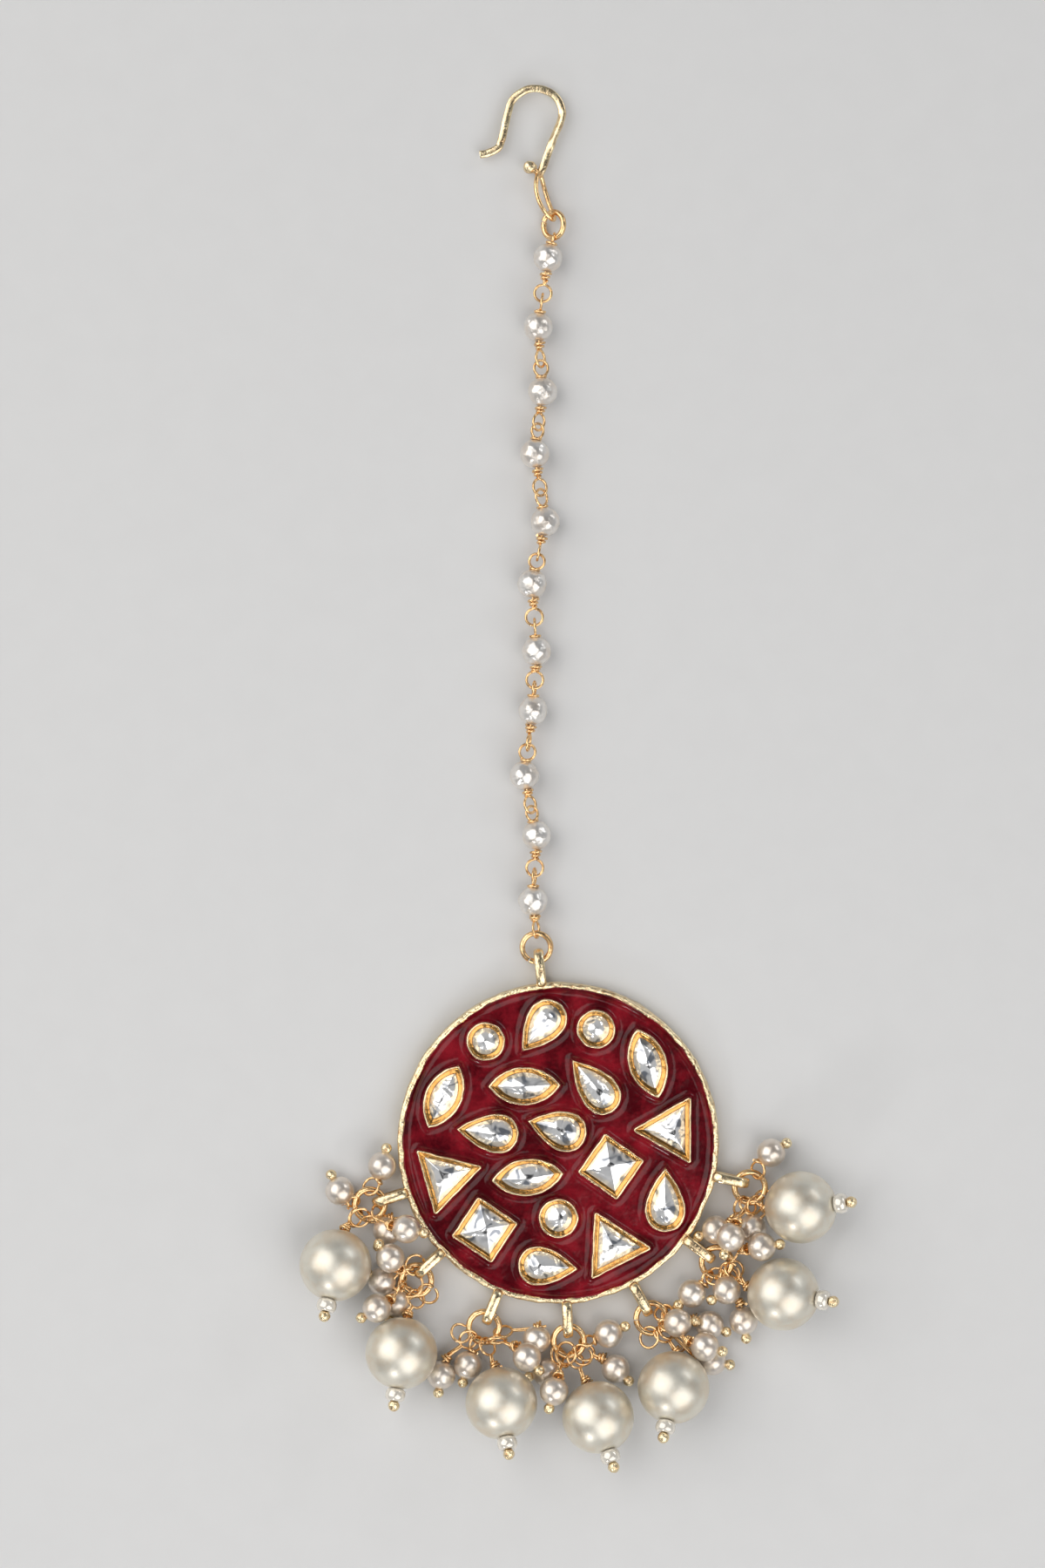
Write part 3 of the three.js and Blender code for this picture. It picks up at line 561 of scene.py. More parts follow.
def pearl_look(tree, place, colours, hue, lump_size, lump_depth, gloss):
    """Nacre: a soft body colour with faint clouds under a clear satin skin, and a warm glow at the edge."""
    body = tuple(getattr(colours, hue))
    clouds = speckle(tree, place, 1.8 * MM, 3.0)
    fine = speckle(tree, place, lump_size * MM, 3.0)
    pale = tuple(min(1.0, 1.08 * c) for c in body)
    warm = (body[0] * 0.96, body[1] * 0.90, body[2] * 0.84)
    return {
        "Base Color": ramp(tree, clouds, [(0.35, warm), (0.55, body), (0.75, pale)]),
        "Roughness": spread(tree, fine, gloss, gloss + 0.12),
        "Normal": bump(tree, fine, lump_depth * MM, 0.5),
        "Metallic": 0.82,
        "Coat Weight": 0.45,
        "Coat Roughness": 0.12,
        "Sheen Weight": 0.15,
        "Sheen Roughness": 0.4,
        "Sheen Tint": (1.0, 0.78, 0.45, 1),
    }


def seed_look(tree, place, colours):
    """Milky glass with faint streaks round the bead."""
    streaks = speckle(tree, place, 0.7 * MM, 3.0)
    body = tuple(colours.seed_bead)
    grey = tuple(0.86 * c for c in body)
    return {
        "Base Color": ramp(tree, streaks, [(0.3, grey), (0.6, body)]),
        "Roughness": spread(tree, streaks, 0.08, 0.2),
        "Normal": bump(tree, streaks, 0.05 * MM, 0.3),
        "Metallic": 0.35,
        "Coat Weight": 1.0,
        "Coat Roughness": 0.05,
    }


def floor_look(tree, place, tone):
    """Plain pale paper."""
    low = tuple(0.985 * c for c in tone)
    paper = ramp(tree, speckle(tree, place, 4 * MM), [(0.3, low), (0.7, tone)])
    return {"Base Color": paper, "Roughness": 0.85}


# Each finish's look, and what its function is given after the colours. Lengths are in millimetres.
FINISHES = {
    # gold: its bright colour, pit size, pit depth, wear
    "Plated Gold": (gold_look, "gold", 0.62, 0.10, 0.45),
    "Bezel Gold": (gold_look, "gold", 0.5, 0.04, 0.75),
    "Hook Gold": (gold_look, "gold", 1.1, 0.05, 0.7),
    "Drawn Wire": (gold_look, "wire", 0.45, 0.02, 0.5),
    # Gold Foil: its own orange gold, darkened as painted shade for its recess.
    "Gold Foil": (gold_look, "foil", 0.7, 0.035, 0.5),
    # pearl: its body colour, lump size, lump depth, roughness
    "Large Pearl": (pearl_look, "large_pearl", 0.9, 0.03, 0.36),
    "Small Pearl": (pearl_look, "small_pearl", 0.6, 0.05, 0.27),
    "Chain Pearl": (pearl_look, "chain_pearl", 0.5, 0.10, 0.26),
    "Enamel": (enamel_look,),
    "Foiled Glass": (stone_look,),
    "Milk Glass": (seed_look,),
}


def finish_named(name):
    """The material of one of the jewel's finishes, made once."""
    if name in bpy.data.materials:
        return bpy.data.materials[name]
    look, *given = FINISHES[name]
    material, tree, shader, place = new_finish(name)
    fill(tree, shader, look(tree, place, bpy.context.scene.jewel_colours, *given))
    return material


# ---- meshes --------------------------------------------------------------------------------------


def new_mesh(name, points, faces=(), edges=()):
    mesh = bpy.data.meshes.new(name)
    mesh.from_pydata([tuple(p) for p in points], list(edges), [tuple(f) for f in faces])
    return mesh


def joined_parts(parts):
    """Several (points, faces) as one."""
    points, faces = [], []
    for more_points, more_faces in parts:
        first = len(points)
        points += more_points
        faces += [[i + first for i in face] for face in more_faces]
    return points, faces


def chains(paths):
    """A mesh of bare edges, one open or closed chain for each (points, closed) path."""
    points, edges = [], []
    for path, closed in paths:
        first, count = len(points), len(path)
        points += path
        edges += [(first + i, first + i + 1) for i in range(count - 1)]
        if closed:
            edges.append((first + count - 1, first))
    return new_mesh("chains", points, edges=edges)


def skin(rings, cap=True):
    """Faces between rings of points that all have the same count, with the first and last closed off."""
    count = len(rings[0])
    points = [p for ring in rings for p in ring]
    faces = []
    for r in range(len(rings) - 1):
        for i in range(count):
            j = (i + 1) % count
            a, b = r * count, (r + 1) * count
            faces.append([a + i, a + j, b + j, b + i])
    if cap:
        faces.append(list(range(count))[::-1])
        last = (len(rings) - 1) * count
        faces.append([last + i for i in range(count)])
    return points, faces


def closed_tube(rings):
    """Faces round a tube whose last ring meets its first."""
    points, faces = skin(rings + rings[:1], cap=False)
    count = len(rings) * len(rings[0])
    return points[:count], [[i % count for i in face] for face in faces]


def placed(piece, node):
    """Rides a piece on the jewel and lets it stand for its solid."""
    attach(piece, "root")
    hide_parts(node)


def metal_piece(name, parts, node, finish, depth, size, seed):
    """A hammered metal piece from closed (points, faces) parts."""
    points, faces = joined_parts(parts)
    settings = {
        "Dent Depth": depth * MM,
        "Dent Size": size * MM,
        "Seed": seed,
        "Material": finish_named(finish),
    }
    placed(grown(name, new_mesh(name, points, faces), "hammered", settings), node)


def wire_piece(name, paths, node, radius, depth=0.006):
    """Gold wire along (points, closed) paths."""
    settings = {
        "Wire Radius": radius,
        "Sides": bpy.context.scene.jewel_sizes.wire_sides,
        "Dent Depth": depth * MM,
        "Dent Size": 0.8 * MM,
        "Material": finish_named("Drawn Wire"),
    }
    placed(grown(name, chains(paths), "wire", settings), node)


BALLS = {
    # kind: finish, slot, lump depth and size in millimetres, subdivisions, dimple
    "large": ("Large Pearl", "large_pearl", 0.03, 5.0, 6, 0.06),
    "small": ("Small Pearl", "small_pearl", 0.04, 1.6, 5, 0.08),
    "chain": ("Chain Pearl", "small_pearl", 0.08, 1.0, 5, 0.1),
    "pin end": ("Plated Gold", "gold", 0.04, 0.6, 4, 0),
    "hook end": ("Plated Gold", "gold", 0.09, 0.6, 4, 0),
}


def pearl_piece(name, pearls, node, kind):
    """Pearls or gold balls at (centre, drill direction, radius), as one piece."""
    finish, slot, lump_depth, lump_size, subdivisions, dimple = BALLS[kind]
    mesh = new_mesh(name, [centre for centre, _, _ in pearls])
    drill = mesh.attributes.new("drill", "FLOAT_VECTOR", "POINT")
    drill.data.foreach_set("vector", [part for _, direction, _ in pearls for part in direction])
    size = mesh.attributes.new("size", "FLOAT", "POINT")
    size.data.foreach_set("value", [radius for _, _, radius in pearls])
    settings = {
        "Subdivisions": subdivisions,
        "Dimple": dimple,
        "Dent Depth": lump_depth * MM,
        "Dent Size": lump_size * MM,
        "Material": finish_named(finish),
    }
    placed(grown(name, mesh, "pearl", settings), node)


def glass_piece(name, node, slot, finish, points, faces, crowns=()):
    """A smooth piece, with how near each of its points is to its crown where that matters."""
    mesh = new_mesh(name, points, faces)
    if crowns:
        mesh.attributes.new("crown", "FLOAT", "POINT").data.foreach_set("value", crowns)
    mesh.shade_smooth()
    mesh.materials.append(finish_named(finish))
    piece = bpy.data.objects.new(name, mesh)
    bpy.context.scene.collection.objects.link(piece)
    placed(piece, node)


# ---- measuring the solids ------------------------------------------------------------------------


def node_points(node):
    return [v.co.copy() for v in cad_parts[node].data.vertices]


def crown_of(node, radius):
    """The centre of the ball whose top is a solid's highest point."""
    points = node_points(node)
    top = max(p.z for p in points)
    highest = [p for p in points if p.z > top - 0.01 * MM]
    centre = sum(highest, Vector()) / len(highest)
    centre.z = radius
    return centre


def pointing(heading, rise=0):
    """The unit vector at an angle from +X, in degrees, raised by another angle."""
    turn, lift = math.radians(heading), math.radians(rise)
    return Vector((math.cos(turn) * math.cos(lift), math.sin(turn) * math.cos(lift), math.sin(lift)))


# ---- stones --------------------------------------------------------------------------------------


def polygon_outline(corners, reach, inset, count, first):
    """A regular polygon with rounded corners."""
    half = math.radians(90 - 180 / corners)
    turn = max(CORNER_ROUNDING - inset, 0.08 * MM)
    centre = reach - (turn + inset) / math.sin(half)
    share = count // corners
    bend = share // 3
    points = []
    for corner in range(corners):
        middle = first + 360 * corner / corners
        hub = pointing(middle) * centre
        swing = 180 / corners
        arc = [hub + pointing(middle - swing + 2 * swing * i / bend) * turn for i in range(bend + 1)]
        following = pointing(middle + 360 / corners) * centre + pointing(middle + swing) * turn
        side = [arc[-1].lerp(following, i / (share - bend)) for i in range(1, share - bend)]
        points += arc + side
    return points


def outline(plan, inset):
    """A bezel's outline, some way inside its outer edge, counterclockwise, in the jewel's frame."""
    kind, centre, long_size, width, heading = plan
    count = OUTLINE_COUNT
    if kind == "round":
        local = [pointing(360 * i / count) * (width / 2 - inset) for i in range(count)]
    elif kind == "pear":
        full = long_size - PEAR_INSET * inset
        half = (width / 2 - inset) * 1.5 * math.sqrt(3)
        local = []
        for i in range(count):
            s = 2 * i / count - 1
            share = 1 - s * s
            local.append(Vector((full * (share - 0.5) + PEAR_SHIFT * inset, half * s * share, 0)))
    elif kind == "marquise":
        half = width / 2 - inset
        full = long_size / 2 - MARQUISE_INSET * inset
        bend = (full * full + half * half) / (2 * half)
        local = []
        for side in (1, -1):
            for i in range(count // 2):
                x = side * full * (1 - 4 * i / count)
                local.append(Vector((x, side * (math.sqrt(bend * bend - x * x) - bend + half), 0)))
    elif kind == "triangle":
        local = polygon_outline(3, long_size / math.sqrt(3), inset, count, 0)
    else:
        local = polygon_outline(4, long_size / math.sqrt(2), inset, count, 45)
    turn = Matrix.Rotation(math.radians(heading), 3, "Z")
    return [centre + turn @ p for p in local]


def span(points, way):
    """How long a set of points is along a direction."""
    reaches = [p.dot(way) for p in points]
    return max(reaches) - min(reaches)


def regular_plan(kind, girdle):
    """The plan of a triangle or a square."""
    corners = unique(girdle)
    centre = sum(corners, Vector()) / len(corners)
    tip = max(corners, key=lambda p: (p - centre).length)
    reach = (tip - centre).length
    heading = math.degrees(math.atan2(tip.y - centre.y, tip.x - centre.x))
    if kind == "triangle":
        size = math.sqrt(3) * (reach + 2 * STONE_INSET)
        return kind, centre, size, size, heading
    size = math.sqrt(2) * reach + 2 * STONE_INSET
    return kind, centre, size, size, heading - 45


def stone_plan(node):
    """A stone's kind, its bezel's middle, length, width and heading, measured from the stone's solid."""
    kind = node.split("_")[-1]
    low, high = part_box(node)
    girdle = [Vector((p.x, p.y, 0)) for p in node_points(node) if p.z < low.z + 0.01 * MM]
    if kind == "round":
        centre = Vector(((low.x + high.x) / 2, (low.y + high.y) / 2, 0))
        width = 2 * (max((p - centre).length for p in girdle) + STONE_INSET)
        return kind, centre, width, width, 0
    if kind in ("triangle", "square"):
        return regular_plan(kind, girdle)
    ends = max(((p, q) for p in girdle for q in girdle), key=lambda pair: (pair[0] - pair[1]).length)
    if kind == "marquise":
        along = (ends[1] - ends[0]).normalized()
    else:
        tip = sharper_end(ends, girdle)
        along = (sum(unique(girdle), Vector()) / len(unique(girdle)) - tip).normalized()
    full = span(girdle, along)
    width = span(girdle, UP.cross(along)) + 2 * STONE_INSET
    heading = math.degrees(math.atan2(along.y, along.x))
    if kind == "marquise":
        swell = 1.02
        centre = (ends[0] + ends[1]) / 2
        return kind, centre, full + 2 * MARQUISE_INSET * STONE_INSET, width * swell, heading
    long_size = full + PEAR_INSET * STONE_INSET
    tip_inset = (PEAR_INSET / 2 + PEAR_SHIFT) * STONE_INSET
    return kind, tip + along * (long_size / 2 - tip_inset), long_size, width, heading


def unique(points):
    kept = {(round(p.x, 6), round(p.y, 6)): p for p in points}
    return list(kept.values())


def sharper_end(ends, points):
    """Which of a stone's two ends has fewer points near it."""
    reach = 0.35 * (ends[0] - ends[1]).length
    crowd = [sum((p - end).length < reach for p in unique(points)) for end in ends]
    return ends[0] if crowd[0] < crowd[1] else ends[1]


STONE_NODES = sorted(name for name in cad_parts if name.startswith("stone_"))
STONE_PLANS = {name: stone_plan(name) for name in STONE_NODES}


# ---- the enamelled disc --------------------------------------------------------------------------


RIM_WALL = 0.85 * MM
INNER_SHARE = 0.958


def disc_radius():
    low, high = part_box("enamel_field")
    return (high.x - low.x) / 2 + RIM_WALL


def wobble(point, size, amount):
    """A small steady shift that differs from place to place."""
    return amount * noise.noise(point / size)


def rim_ring(radius, height, count, shake):
    """One ring of the rim's wall, shaken in and out, and up and down where it is high."""
    ring = []
    for i in range(count):
        out = pointing(360 * i / count)
        spot = out * radius
        reach = radius + wobble(spot + Vector((0, 0, height)), 2.2 * MM, shake)
        lift = wobble(spot * 1.3, 1.6 * MM, shake if height > MM else 0)
        ring.append(out * reach + UP * (height + lift))
    return ring


def disc_shell():
    """The back plate and the hand-raised rim as one closed shell."""
    edge = disc_radius()
    profile = [
        # share of the radius, height, shake
        (0.97, 0.0, 0.0),
        (1.0, 0.12, 0.02),
        (1.0, 0.8, 0.05),
        (1.0, 1.6, 0.10),
        (0.997, 2.0, 0.14),
        (0.989, 2.18, 0.14),
        (0.978, 2.2, 0.14),
        (0.966, 2.12, 0.16),
        (0.960, 1.9, 0.14),
        (INNER_SHARE, 1.0, 0.05),
    ]
    rings = [rim_ring(edge * share, height * MM, 360, shake * MM) for share, height, shake in profile]
    return skin(rings)


def squared_oval(count, half_width, half_height, side_corner, end_corner):
    """Points round an oval, squarer where a corner is under 1."""
    oval = []
    for i in range(count):
        turn = 2 * math.pi * i / count
        x = half_width * math.copysign(abs(math.cos(turn)) ** side_corner, math.cos(turn))
        y = half_height * math.copysign(abs(math.sin(turn)) ** end_corner, math.sin(turn))
        oval.append((x, y))
    return oval


def untwisted(_):
    return 0.0


def flat_bar(path, side, half_side, half_out, closed, corner=0.6, twist=untwisted):
    """A bar along a flat path. half_side is half its size along side, which is square to the path's plane,
    and half_out is half its size in that plane. An oval section has corner 1, and a squarer one has less."""
    count = len(path)
    rings = []
    for i, point in enumerate(path):
        before = path[i - 1] if closed or i else path[0]
        after = path[(i + 1) % count] if closed or i < count - 1 else path[-1]
        forward = (after - before).normalized()
        up = Matrix.Rotation(twist(point), 3, forward) @ side
        out = forward.cross(up)
        section = squared_oval(16, half_side, half_out, corner, corner)
        rings.append([point + up * across + out * thick for across, thick in section])
    return closed_tube(rings) if closed else skin(rings)


def rim_loop(angle):
    """A loop of flat bar that stands on edge at the rim."""
    out = pointing(angle)
    side = UP.cross(out)
    low, high, bar, half_width = 0.1 * MM, 2.9 * MM, 0.33 * MM, 0.58 * MM
    bend = (high - low) / 2 - bar
    middle = (high + low) / 2
    near, far = disc_radius() + bend - 0.3 * MM, disc_radius() + LOOP_REACH - bend - bar
    path = []
    for centre, start in ((far, -90), (near, 90)):
        for i in range(15):
            turn = math.radians(start + 180 * i / 14)
            path.append(out * (centre + bend * math.cos(turn)) + UP * (middle + bend * math.sin(turn)))
    return flat_bar(path, side, half_width, bar, True, corner=0.85)


def bezel(plan, wall):
    """A bezel's wall: it leans from the enamel, turns over a soft lip and drops to the foil."""
    profile = [
        # inset, height
        (-0.10, 0.9),
        (-0.06, 1.7),
        (0.0, 2.2),
        (0.03, 2.66),
        (0.08, 2.82),
        (0.17, 2.88),
        (0.26, 2.82),
        (0.30, 2.66),
        (0.33, 2.0),
        (0.35, 0.9),
    ]
    full_inset, lip_height = profile[-1][0], 2.5
    rings = []
    for inset, height in profile:
        shake = 0.07 * MM if height > lip_height else 0.03 * MM
        ring = []
        for p in outline(plan, inset * wall / full_inset):
            sway_x, sway_y = wobble(p, 0.9 * MM, shake), wobble(p.yxz, 1.1 * MM, shake)
            sway = Vector((sway_x, sway_y, wobble(p.zyx + p, 1.5 * MM, shake)))
            ring.append(p + sway + UP * height * MM)
        rings.append(ring)
    return closed_tube(rings)


def foil_bed(plan, wall, width):
    """The foil that slopes from a bezel's wall down to and under its stone."""
    lip = wall * LIP_SHARE
    under = lip + width + 0.15 * MM
    levels = [
        # inset, height
        (lip, 2.2),
        (lip + 0.25 * width, 2.02),
        (lip + 0.6 * width, 1.96),
        (lip + width, 1.92),
        (under, 1.88),
        (under, 1.2),
        (lip, 1.2),
    ]
    rings = []
    for inset, height in levels:
        crinkle = 0.05 * MM if height > 1.95 else 0
        shape = outline(plan, inset)
        rings.append([p + UP * (height * MM + wobble(p, 0.45 * MM, crinkle)) for p in shape])
    return closed_tube(rings)


# A cut stone's rings, as shares of the way from its crown out to its edge.
CROWN_STEPS = [1.0, 0.97, 0.9, 0.8, 0.7, 0.6, 0.5, 0.4, 0.3, 0.2, 0.12, 0.05]


def cut_stone(plan, inset):
    """A soft-edged pyramid over the stone's outline, with its point a little to one side."""
    fine = outline(plan, inset)
    hub = sum(fine, Vector()) / len(fine)
    hub += Vector((wobble(hub, 2 * MM, 0.5 * MM), wobble(hub.yxz, 2 * MM, 0.5 * MM), 0))
    base, low, high = 1.4 * MM, 2.0 * MM, 2.86 * MM
    rings = [[p + UP * base for p in fine]]
    # How near each ring is to the crown; the stone's material paints its dark reflections by it.
    crowns = [0.0]
    for step in CROWN_STEPS:
        rise = 1 - step**1.25
        rings.append([hub.lerp(p, step) + UP * (low + (high - low) * rise) for p in fine])
        crowns.append(1 - step)
    return *skin(rings), [crown for crown in crowns for _ in fine]


# ---- wires, rings and pearls ---------------------------------------------------------------------


def arc_points(centre, x_axis, y_axis, radius, start, end, count):
    """Points along an arc in the plane of two unit vectors, in degrees."""
    turns = [math.radians(start + (end - start) * i / count) for i in range(count + 1)]
    return [centre + x_axis * radius * math.cos(t) + y_axis * radius * math.sin(t) for t in turns]


def jump_ring(centre, radius, out, normal, cut, gap=4):
    """An open ring of wire whose two ends almost meet."""
    side = normal.cross(out).normalized()
    first, last = cut + gap / 2, cut + 360 - gap / 2
    path = arc_points(centre, out, side, radius, first, last, 56)
    spring = 0.05 * MM
    return [p + normal * spring * (2 * i / (len(path) - 1) - 1) for i, p in enumerate(path)]


def ring_facts(node):
    """A ring solid's centre and middle radius."""
    low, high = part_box(node)
    wire = 0.36 * MM
    return (low + high) / 2, max(high.x - low.x, high.y - low.y) / 2 - wire


# A wrap's length, how far its first and last turns stand out, in radii of the wire, and its steps a turn.
WRAP_LENGTH = 1.0 * MM
WRAP_START = 1.9
WRAP_SWELL = 2.0
WRAP_STEPS = 14
# Where an eye's wire leaves its neck and comes back to it, in degrees.
EYE_START, EYE_END = 186, 535


def wrapped_eye(hole, far, normal, eye_radius, wire, turns):
    """Wire from a pearl's hole, round an eye that ends at far, and back in coils round its own stem."""
    along = (far - hole).normalized()
    reach = (far - hole).length
    radius = min(eye_radius, reach * 0.46)
    side = normal.cross(along).normalized()
    centre = far - along * radius
    neck = centre - along * radius
    stem = [hole - along * 0.6 * MM, hole.lerp(neck, 0.5)]
    eye = arc_points(centre, along, side, radius, EYE_START, EYE_END, 30)
    across = side.cross(along).normalized()
    bare = max(0, (neck - hole).length - WRAP_LENGTH)
    start = neck - along * bare
    coil = []
    steps = round(turns * WRAP_STEPS)
    for i in range(steps + 1):
        share = i / steps
        turn = 2 * math.pi * turns * share
        swell = wire * (WRAP_START + WRAP_SWELL * share)
        spot = start.lerp(hole + along * wire * 0.6, share)
        coil.append(spot + (side * math.cos(turn) + across * math.sin(turn)) * swell)
    return stem + eye + coil, False


def leaning(tangent, along, lean):
    """An eye's normal: the ring's tangent, leaned over towards the viewer."""
    flat = (tangent - along * tangent.dot(along)).normalized()
    tilt = math.radians(lean)
    upright = flat.cross(along).normalized()
    if upright.z < 0:
        upright = -upright
    return (flat * math.cos(tilt) + upright * math.sin(tilt)).normalized()


def drop_ring_frame(name):
    """A drop ring's centre, its radius and the way out from the disc."""
    centre, radius = ring_facts(f"drop_ring_{name}")
    return centre, radius, pointing(DROP_ANGLES[RING_NAMES.index(name)])


def hung_wire(name, hole, seat, lean):
    """The wire from a pearl's hole to its seat on a drop ring."""
    sizes = bpy.context.scene.jewel_sizes
    centre, radius, out = drop_ring_frame(name)
    angle = math.radians(math.degrees(math.atan2(out.y, out.x)) + seat)
    radial = Vector((math.cos(angle), math.sin(angle), 0))
    held = centre + radial * radius
    along = (held - hole).normalized()
    far = held + along * (sizes.ring_wire + sizes.wire_radius)
    normal = leaning(UP.cross(radial), along, lean)
    return wrapped_eye(hole, far, normal, sizes.eye_radius, sizes.wire_radius, sizes.wrap_turns)


def seed_bead(centre, axis):
    """A short glass bead with a round edge and a hole."""
    radius, half_length, hole = 1.16 * MM, 0.74 * MM, 0.2 * MM
    side = axis.orthogonal().normalized()
    across = axis.cross(side)
    thick = (radius - hole) / 2
    section = squared_oval(20, thick, half_length, 0.95, 0.9)
    rings = []
    for i in range(40):
        turn = 2 * math.pi * i / 40
        out = side * math.cos(turn) + across * math.sin(turn)
        rings.append([centre + out * (hole + thick + x) + axis * y for x, y in section])
    return closed_tube(rings)


# ---- operators -----------------------------------------------------------------------------------


class JEWEL_OT_disc(bpy.types.Operator):
    """Make the disc's plate and rim, its bezels and foil, and the bail and drop loops"""

    bl_idname = "jewel.disc"
    bl_label = "Disc Frame"

    def execute(self, context):
        sizes = context.scene.jewel_sizes
        wall, width = sizes.bezel_wall, sizes.foil_width
        loops = [rim_loop(angle) for angle in (BAIL_ANGLE, *DROP_ANGLES)]
        walls = [bezel(plan, wall) for plan in STONE_PLANS.values()]
        beds = [foil_bed(plan, wall, width) for plan in STONE_PLANS.values()]
        pieces = [
            # name, parts, finish, dent depth, dent size, seed
            ("disc_plate_and_rim", [disc_shell()], "Plated Gold", sizes.dent_depth / MM, 1.4, 1.0),
            ("bail_and_drop_loops", loops, "Bezel Gold", 0.04, 0.9, 4.0),
            ("bezels", walls, "Bezel Gold", 0.02, 0.6, 7.0),
            ("stone_foils", beds, "Gold Foil", 0.02, 0.5, 9.0),
        ]
        for name, parts, *look in pieces:
            metal_piece(name, parts, "disc_frame", *look)
        return {"FINISHED"}


class JEWEL_OT_enamel(bpy.types.Operator):
    """Pour the enamel, which climbs at every bezel and at the rim"""

    bl_idname = "jewel.enamel"
    bl_label = "Enamel"

    def execute(self, context):
        sizes = context.scene.jewel_sizes
        inner = disc_radius() * INNER_SHARE
        shore = inner + 0.12 * MM
        shapes = [outline(plan, 0) for plan in STONE_PLANS.values()]
        shapes.append([pointing(2 * i) * shore for i in range(180)])
        paths = [([Vector((p.x, p.y, 0)) for p in shape], True) for shape in shapes]
        settings = {
            "Radius": inner + 0.32 * MM,
            "Level": sizes.enamel_level,
            "Climb": sizes.enamel_climb,
            "Reach": 0.94 * MM,
            "Resolution": 340,
            "Dent Depth": 0.02 * MM,
            "Dent Size": 3.0 * MM,
            "Material": finish_named("Enamel"),
        }
        placed(grown("enamel_pool", chains(paths), "enamel", settings), "enamel_field")
        return {"FINISHED"}


class JEWEL_OT_stones(bpy.types.Operator):
    """Cut each stone and set it in its foil"""

    bl_idname = "jewel.stones"
    bl_label = "Stones"

    def execute(self, context):
        sizes = context.scene.jewel_sizes
        inset = sizes.bezel_wall * LIP_SHARE + sizes.foil_width
        for node, plan in STONE_PLANS.items():
            glass_piece(node + "_glass", node, "glass", "Foiled Glass", *cut_stone(plan, inset))
        return {"FINISHED"}


def hook_twist(point):
    """How far the hook's flat wire is rolled: it turns on edge along the upper shank."""
    share = 1 - abs(point.y - TWIST_MIDDLE) / TWIST_REACH
    on_shank = point.x > HOOK_EYE[0][0] * MM
    return TWIST * min(1.0, 2 * share) if on_shank and share > 0 else 0.0


def hook_eye(top, foot):
    """The long eye's wire, leaned over and bowed to one side."""
    along = (foot - top).normalized()
    lean = math.radians(HOOK_EYE_LEAN)
    level = UP.cross(along).normalized()
    across = level * math.cos(lean) + along.cross(level) * math.sin(lean)
    half = (foot - top).length / 2
    path = []
    for i in range(60):
        turn = 2 * math.pi * i / 60
        reach = math.cos(turn)
        bow = HOOK_EYE_BOW * (1 - reach * reach)
        width = HOOK_EYE_HALF_WIDTH * math.sin(turn)
        path.append((top + foot) / 2 + along * half * reach + across * width - level * bow)
    return path


class JEWEL_OT_hook(bpy.types.Operator):
    """Make the flat wire hook with its long eye and end ball"""

    bl_idname = "jewel.hook"
    bl_label = "Hair Hook"

    def execute(self, context):
        line = smooth_line([Vector((x * MM, y * MM, HOOK_HEIGHT)) for x, y in HOOK_LINE], 8)
        bar = flat_bar(line, UP, HOOK_HALF_THICKNESS, HOOK_HALF_WIDTH, False, twist=hook_twist)
        metal_piece("hair_hook_wire", [bar], "hair_hook", "Hook Gold", 0.04, 1.1, 2.0)
        ends = (*HOOK_EYE, HOOK_BALL)
        top, foot, tip = (Vector((x * MM, y * MM, HOOK_EYE_HEIGHT)) for x, y in ends)
        eye_wire, neck_wire, ball_radius = 0.27 * MM, 0.34 * MM, 0.74 * MM
        wire_piece("hair_hook_eye", [(hook_eye(top, foot), True)], "hair_hook", eye_wire, depth=0.015)
        neck = [tip, (top + tip) / 2 + UP * 0.15 * MM, top + UP * 0.1 * MM, line[-1]]
        wire_piece("hair_hook_neck", [(neck, False)], "hair_hook", neck_wire, depth=0.03)
        pearl_piece("hair_hook_ball", [(tip, UP, ball_radius)], "hair_hook", "hook end")
        return {"FINISHED"}


class JEWEL_OT_rings(bpy.types.Operator):
    """Bend the jump rings at both ends of the chain and on the drop loops"""

    bl_idname = "jewel.rings"
    bl_label = "Jump Rings"

    def execute(self, context):
        ring_wire = context.scene.jewel_sizes.ring_wire
        tilted = Matrix.Rotation(math.radians(TOP_RING_TILT), 3, "Y") @ UP
        rings = [
            # name, way out, normal, where it is cut, wire
            ("top_{}ring", -90, tilted, 250, 0.33 * MM),
            ("bail_{}ring", 90, UP, 150, 0.32 * MM),
        ]
        for i, letter in enumerate(RING_NAMES):
            rings.append(("drop_{}ring_" + letter, DROP_ANGLES[i], UP, 60 + 47 * i, ring_wire))
        for name, way, normal, cut, wire in rings:
            node = name.format("")
            centre, radius = ring_facts(node)
            if node == "top_ring":
                radius = TOP_RING_RADIUS
            path = jump_ring(centre, radius, pointing(way), normal, cut)
            wire_piece(name.format("jump_"), [(path, False)], node, wire, depth=0.012)
        return {"FINISHED"}


def smooth_line(points, steps):
    """A smooth curve through points."""
    line = []
    for i in range(len(points) - 1):
        before, start = points[max(i - 1, 0)], points[i]
        end, after = points[i + 1], points[min(i + 2, len(points) - 1)]
        for k in range(steps):
            t = k / steps
            square = (2 * before - 5 * start + 4 * end - after) * t * t
            cube = (3 * start - before - 3 * end + after) * t * t * t
            line.append(0.5 * (2 * start + (end - before) * t + square + cube))
    return line + [points[-1]]


CHAIN_NODES = sorted(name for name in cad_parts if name.startswith("bead_link_"))
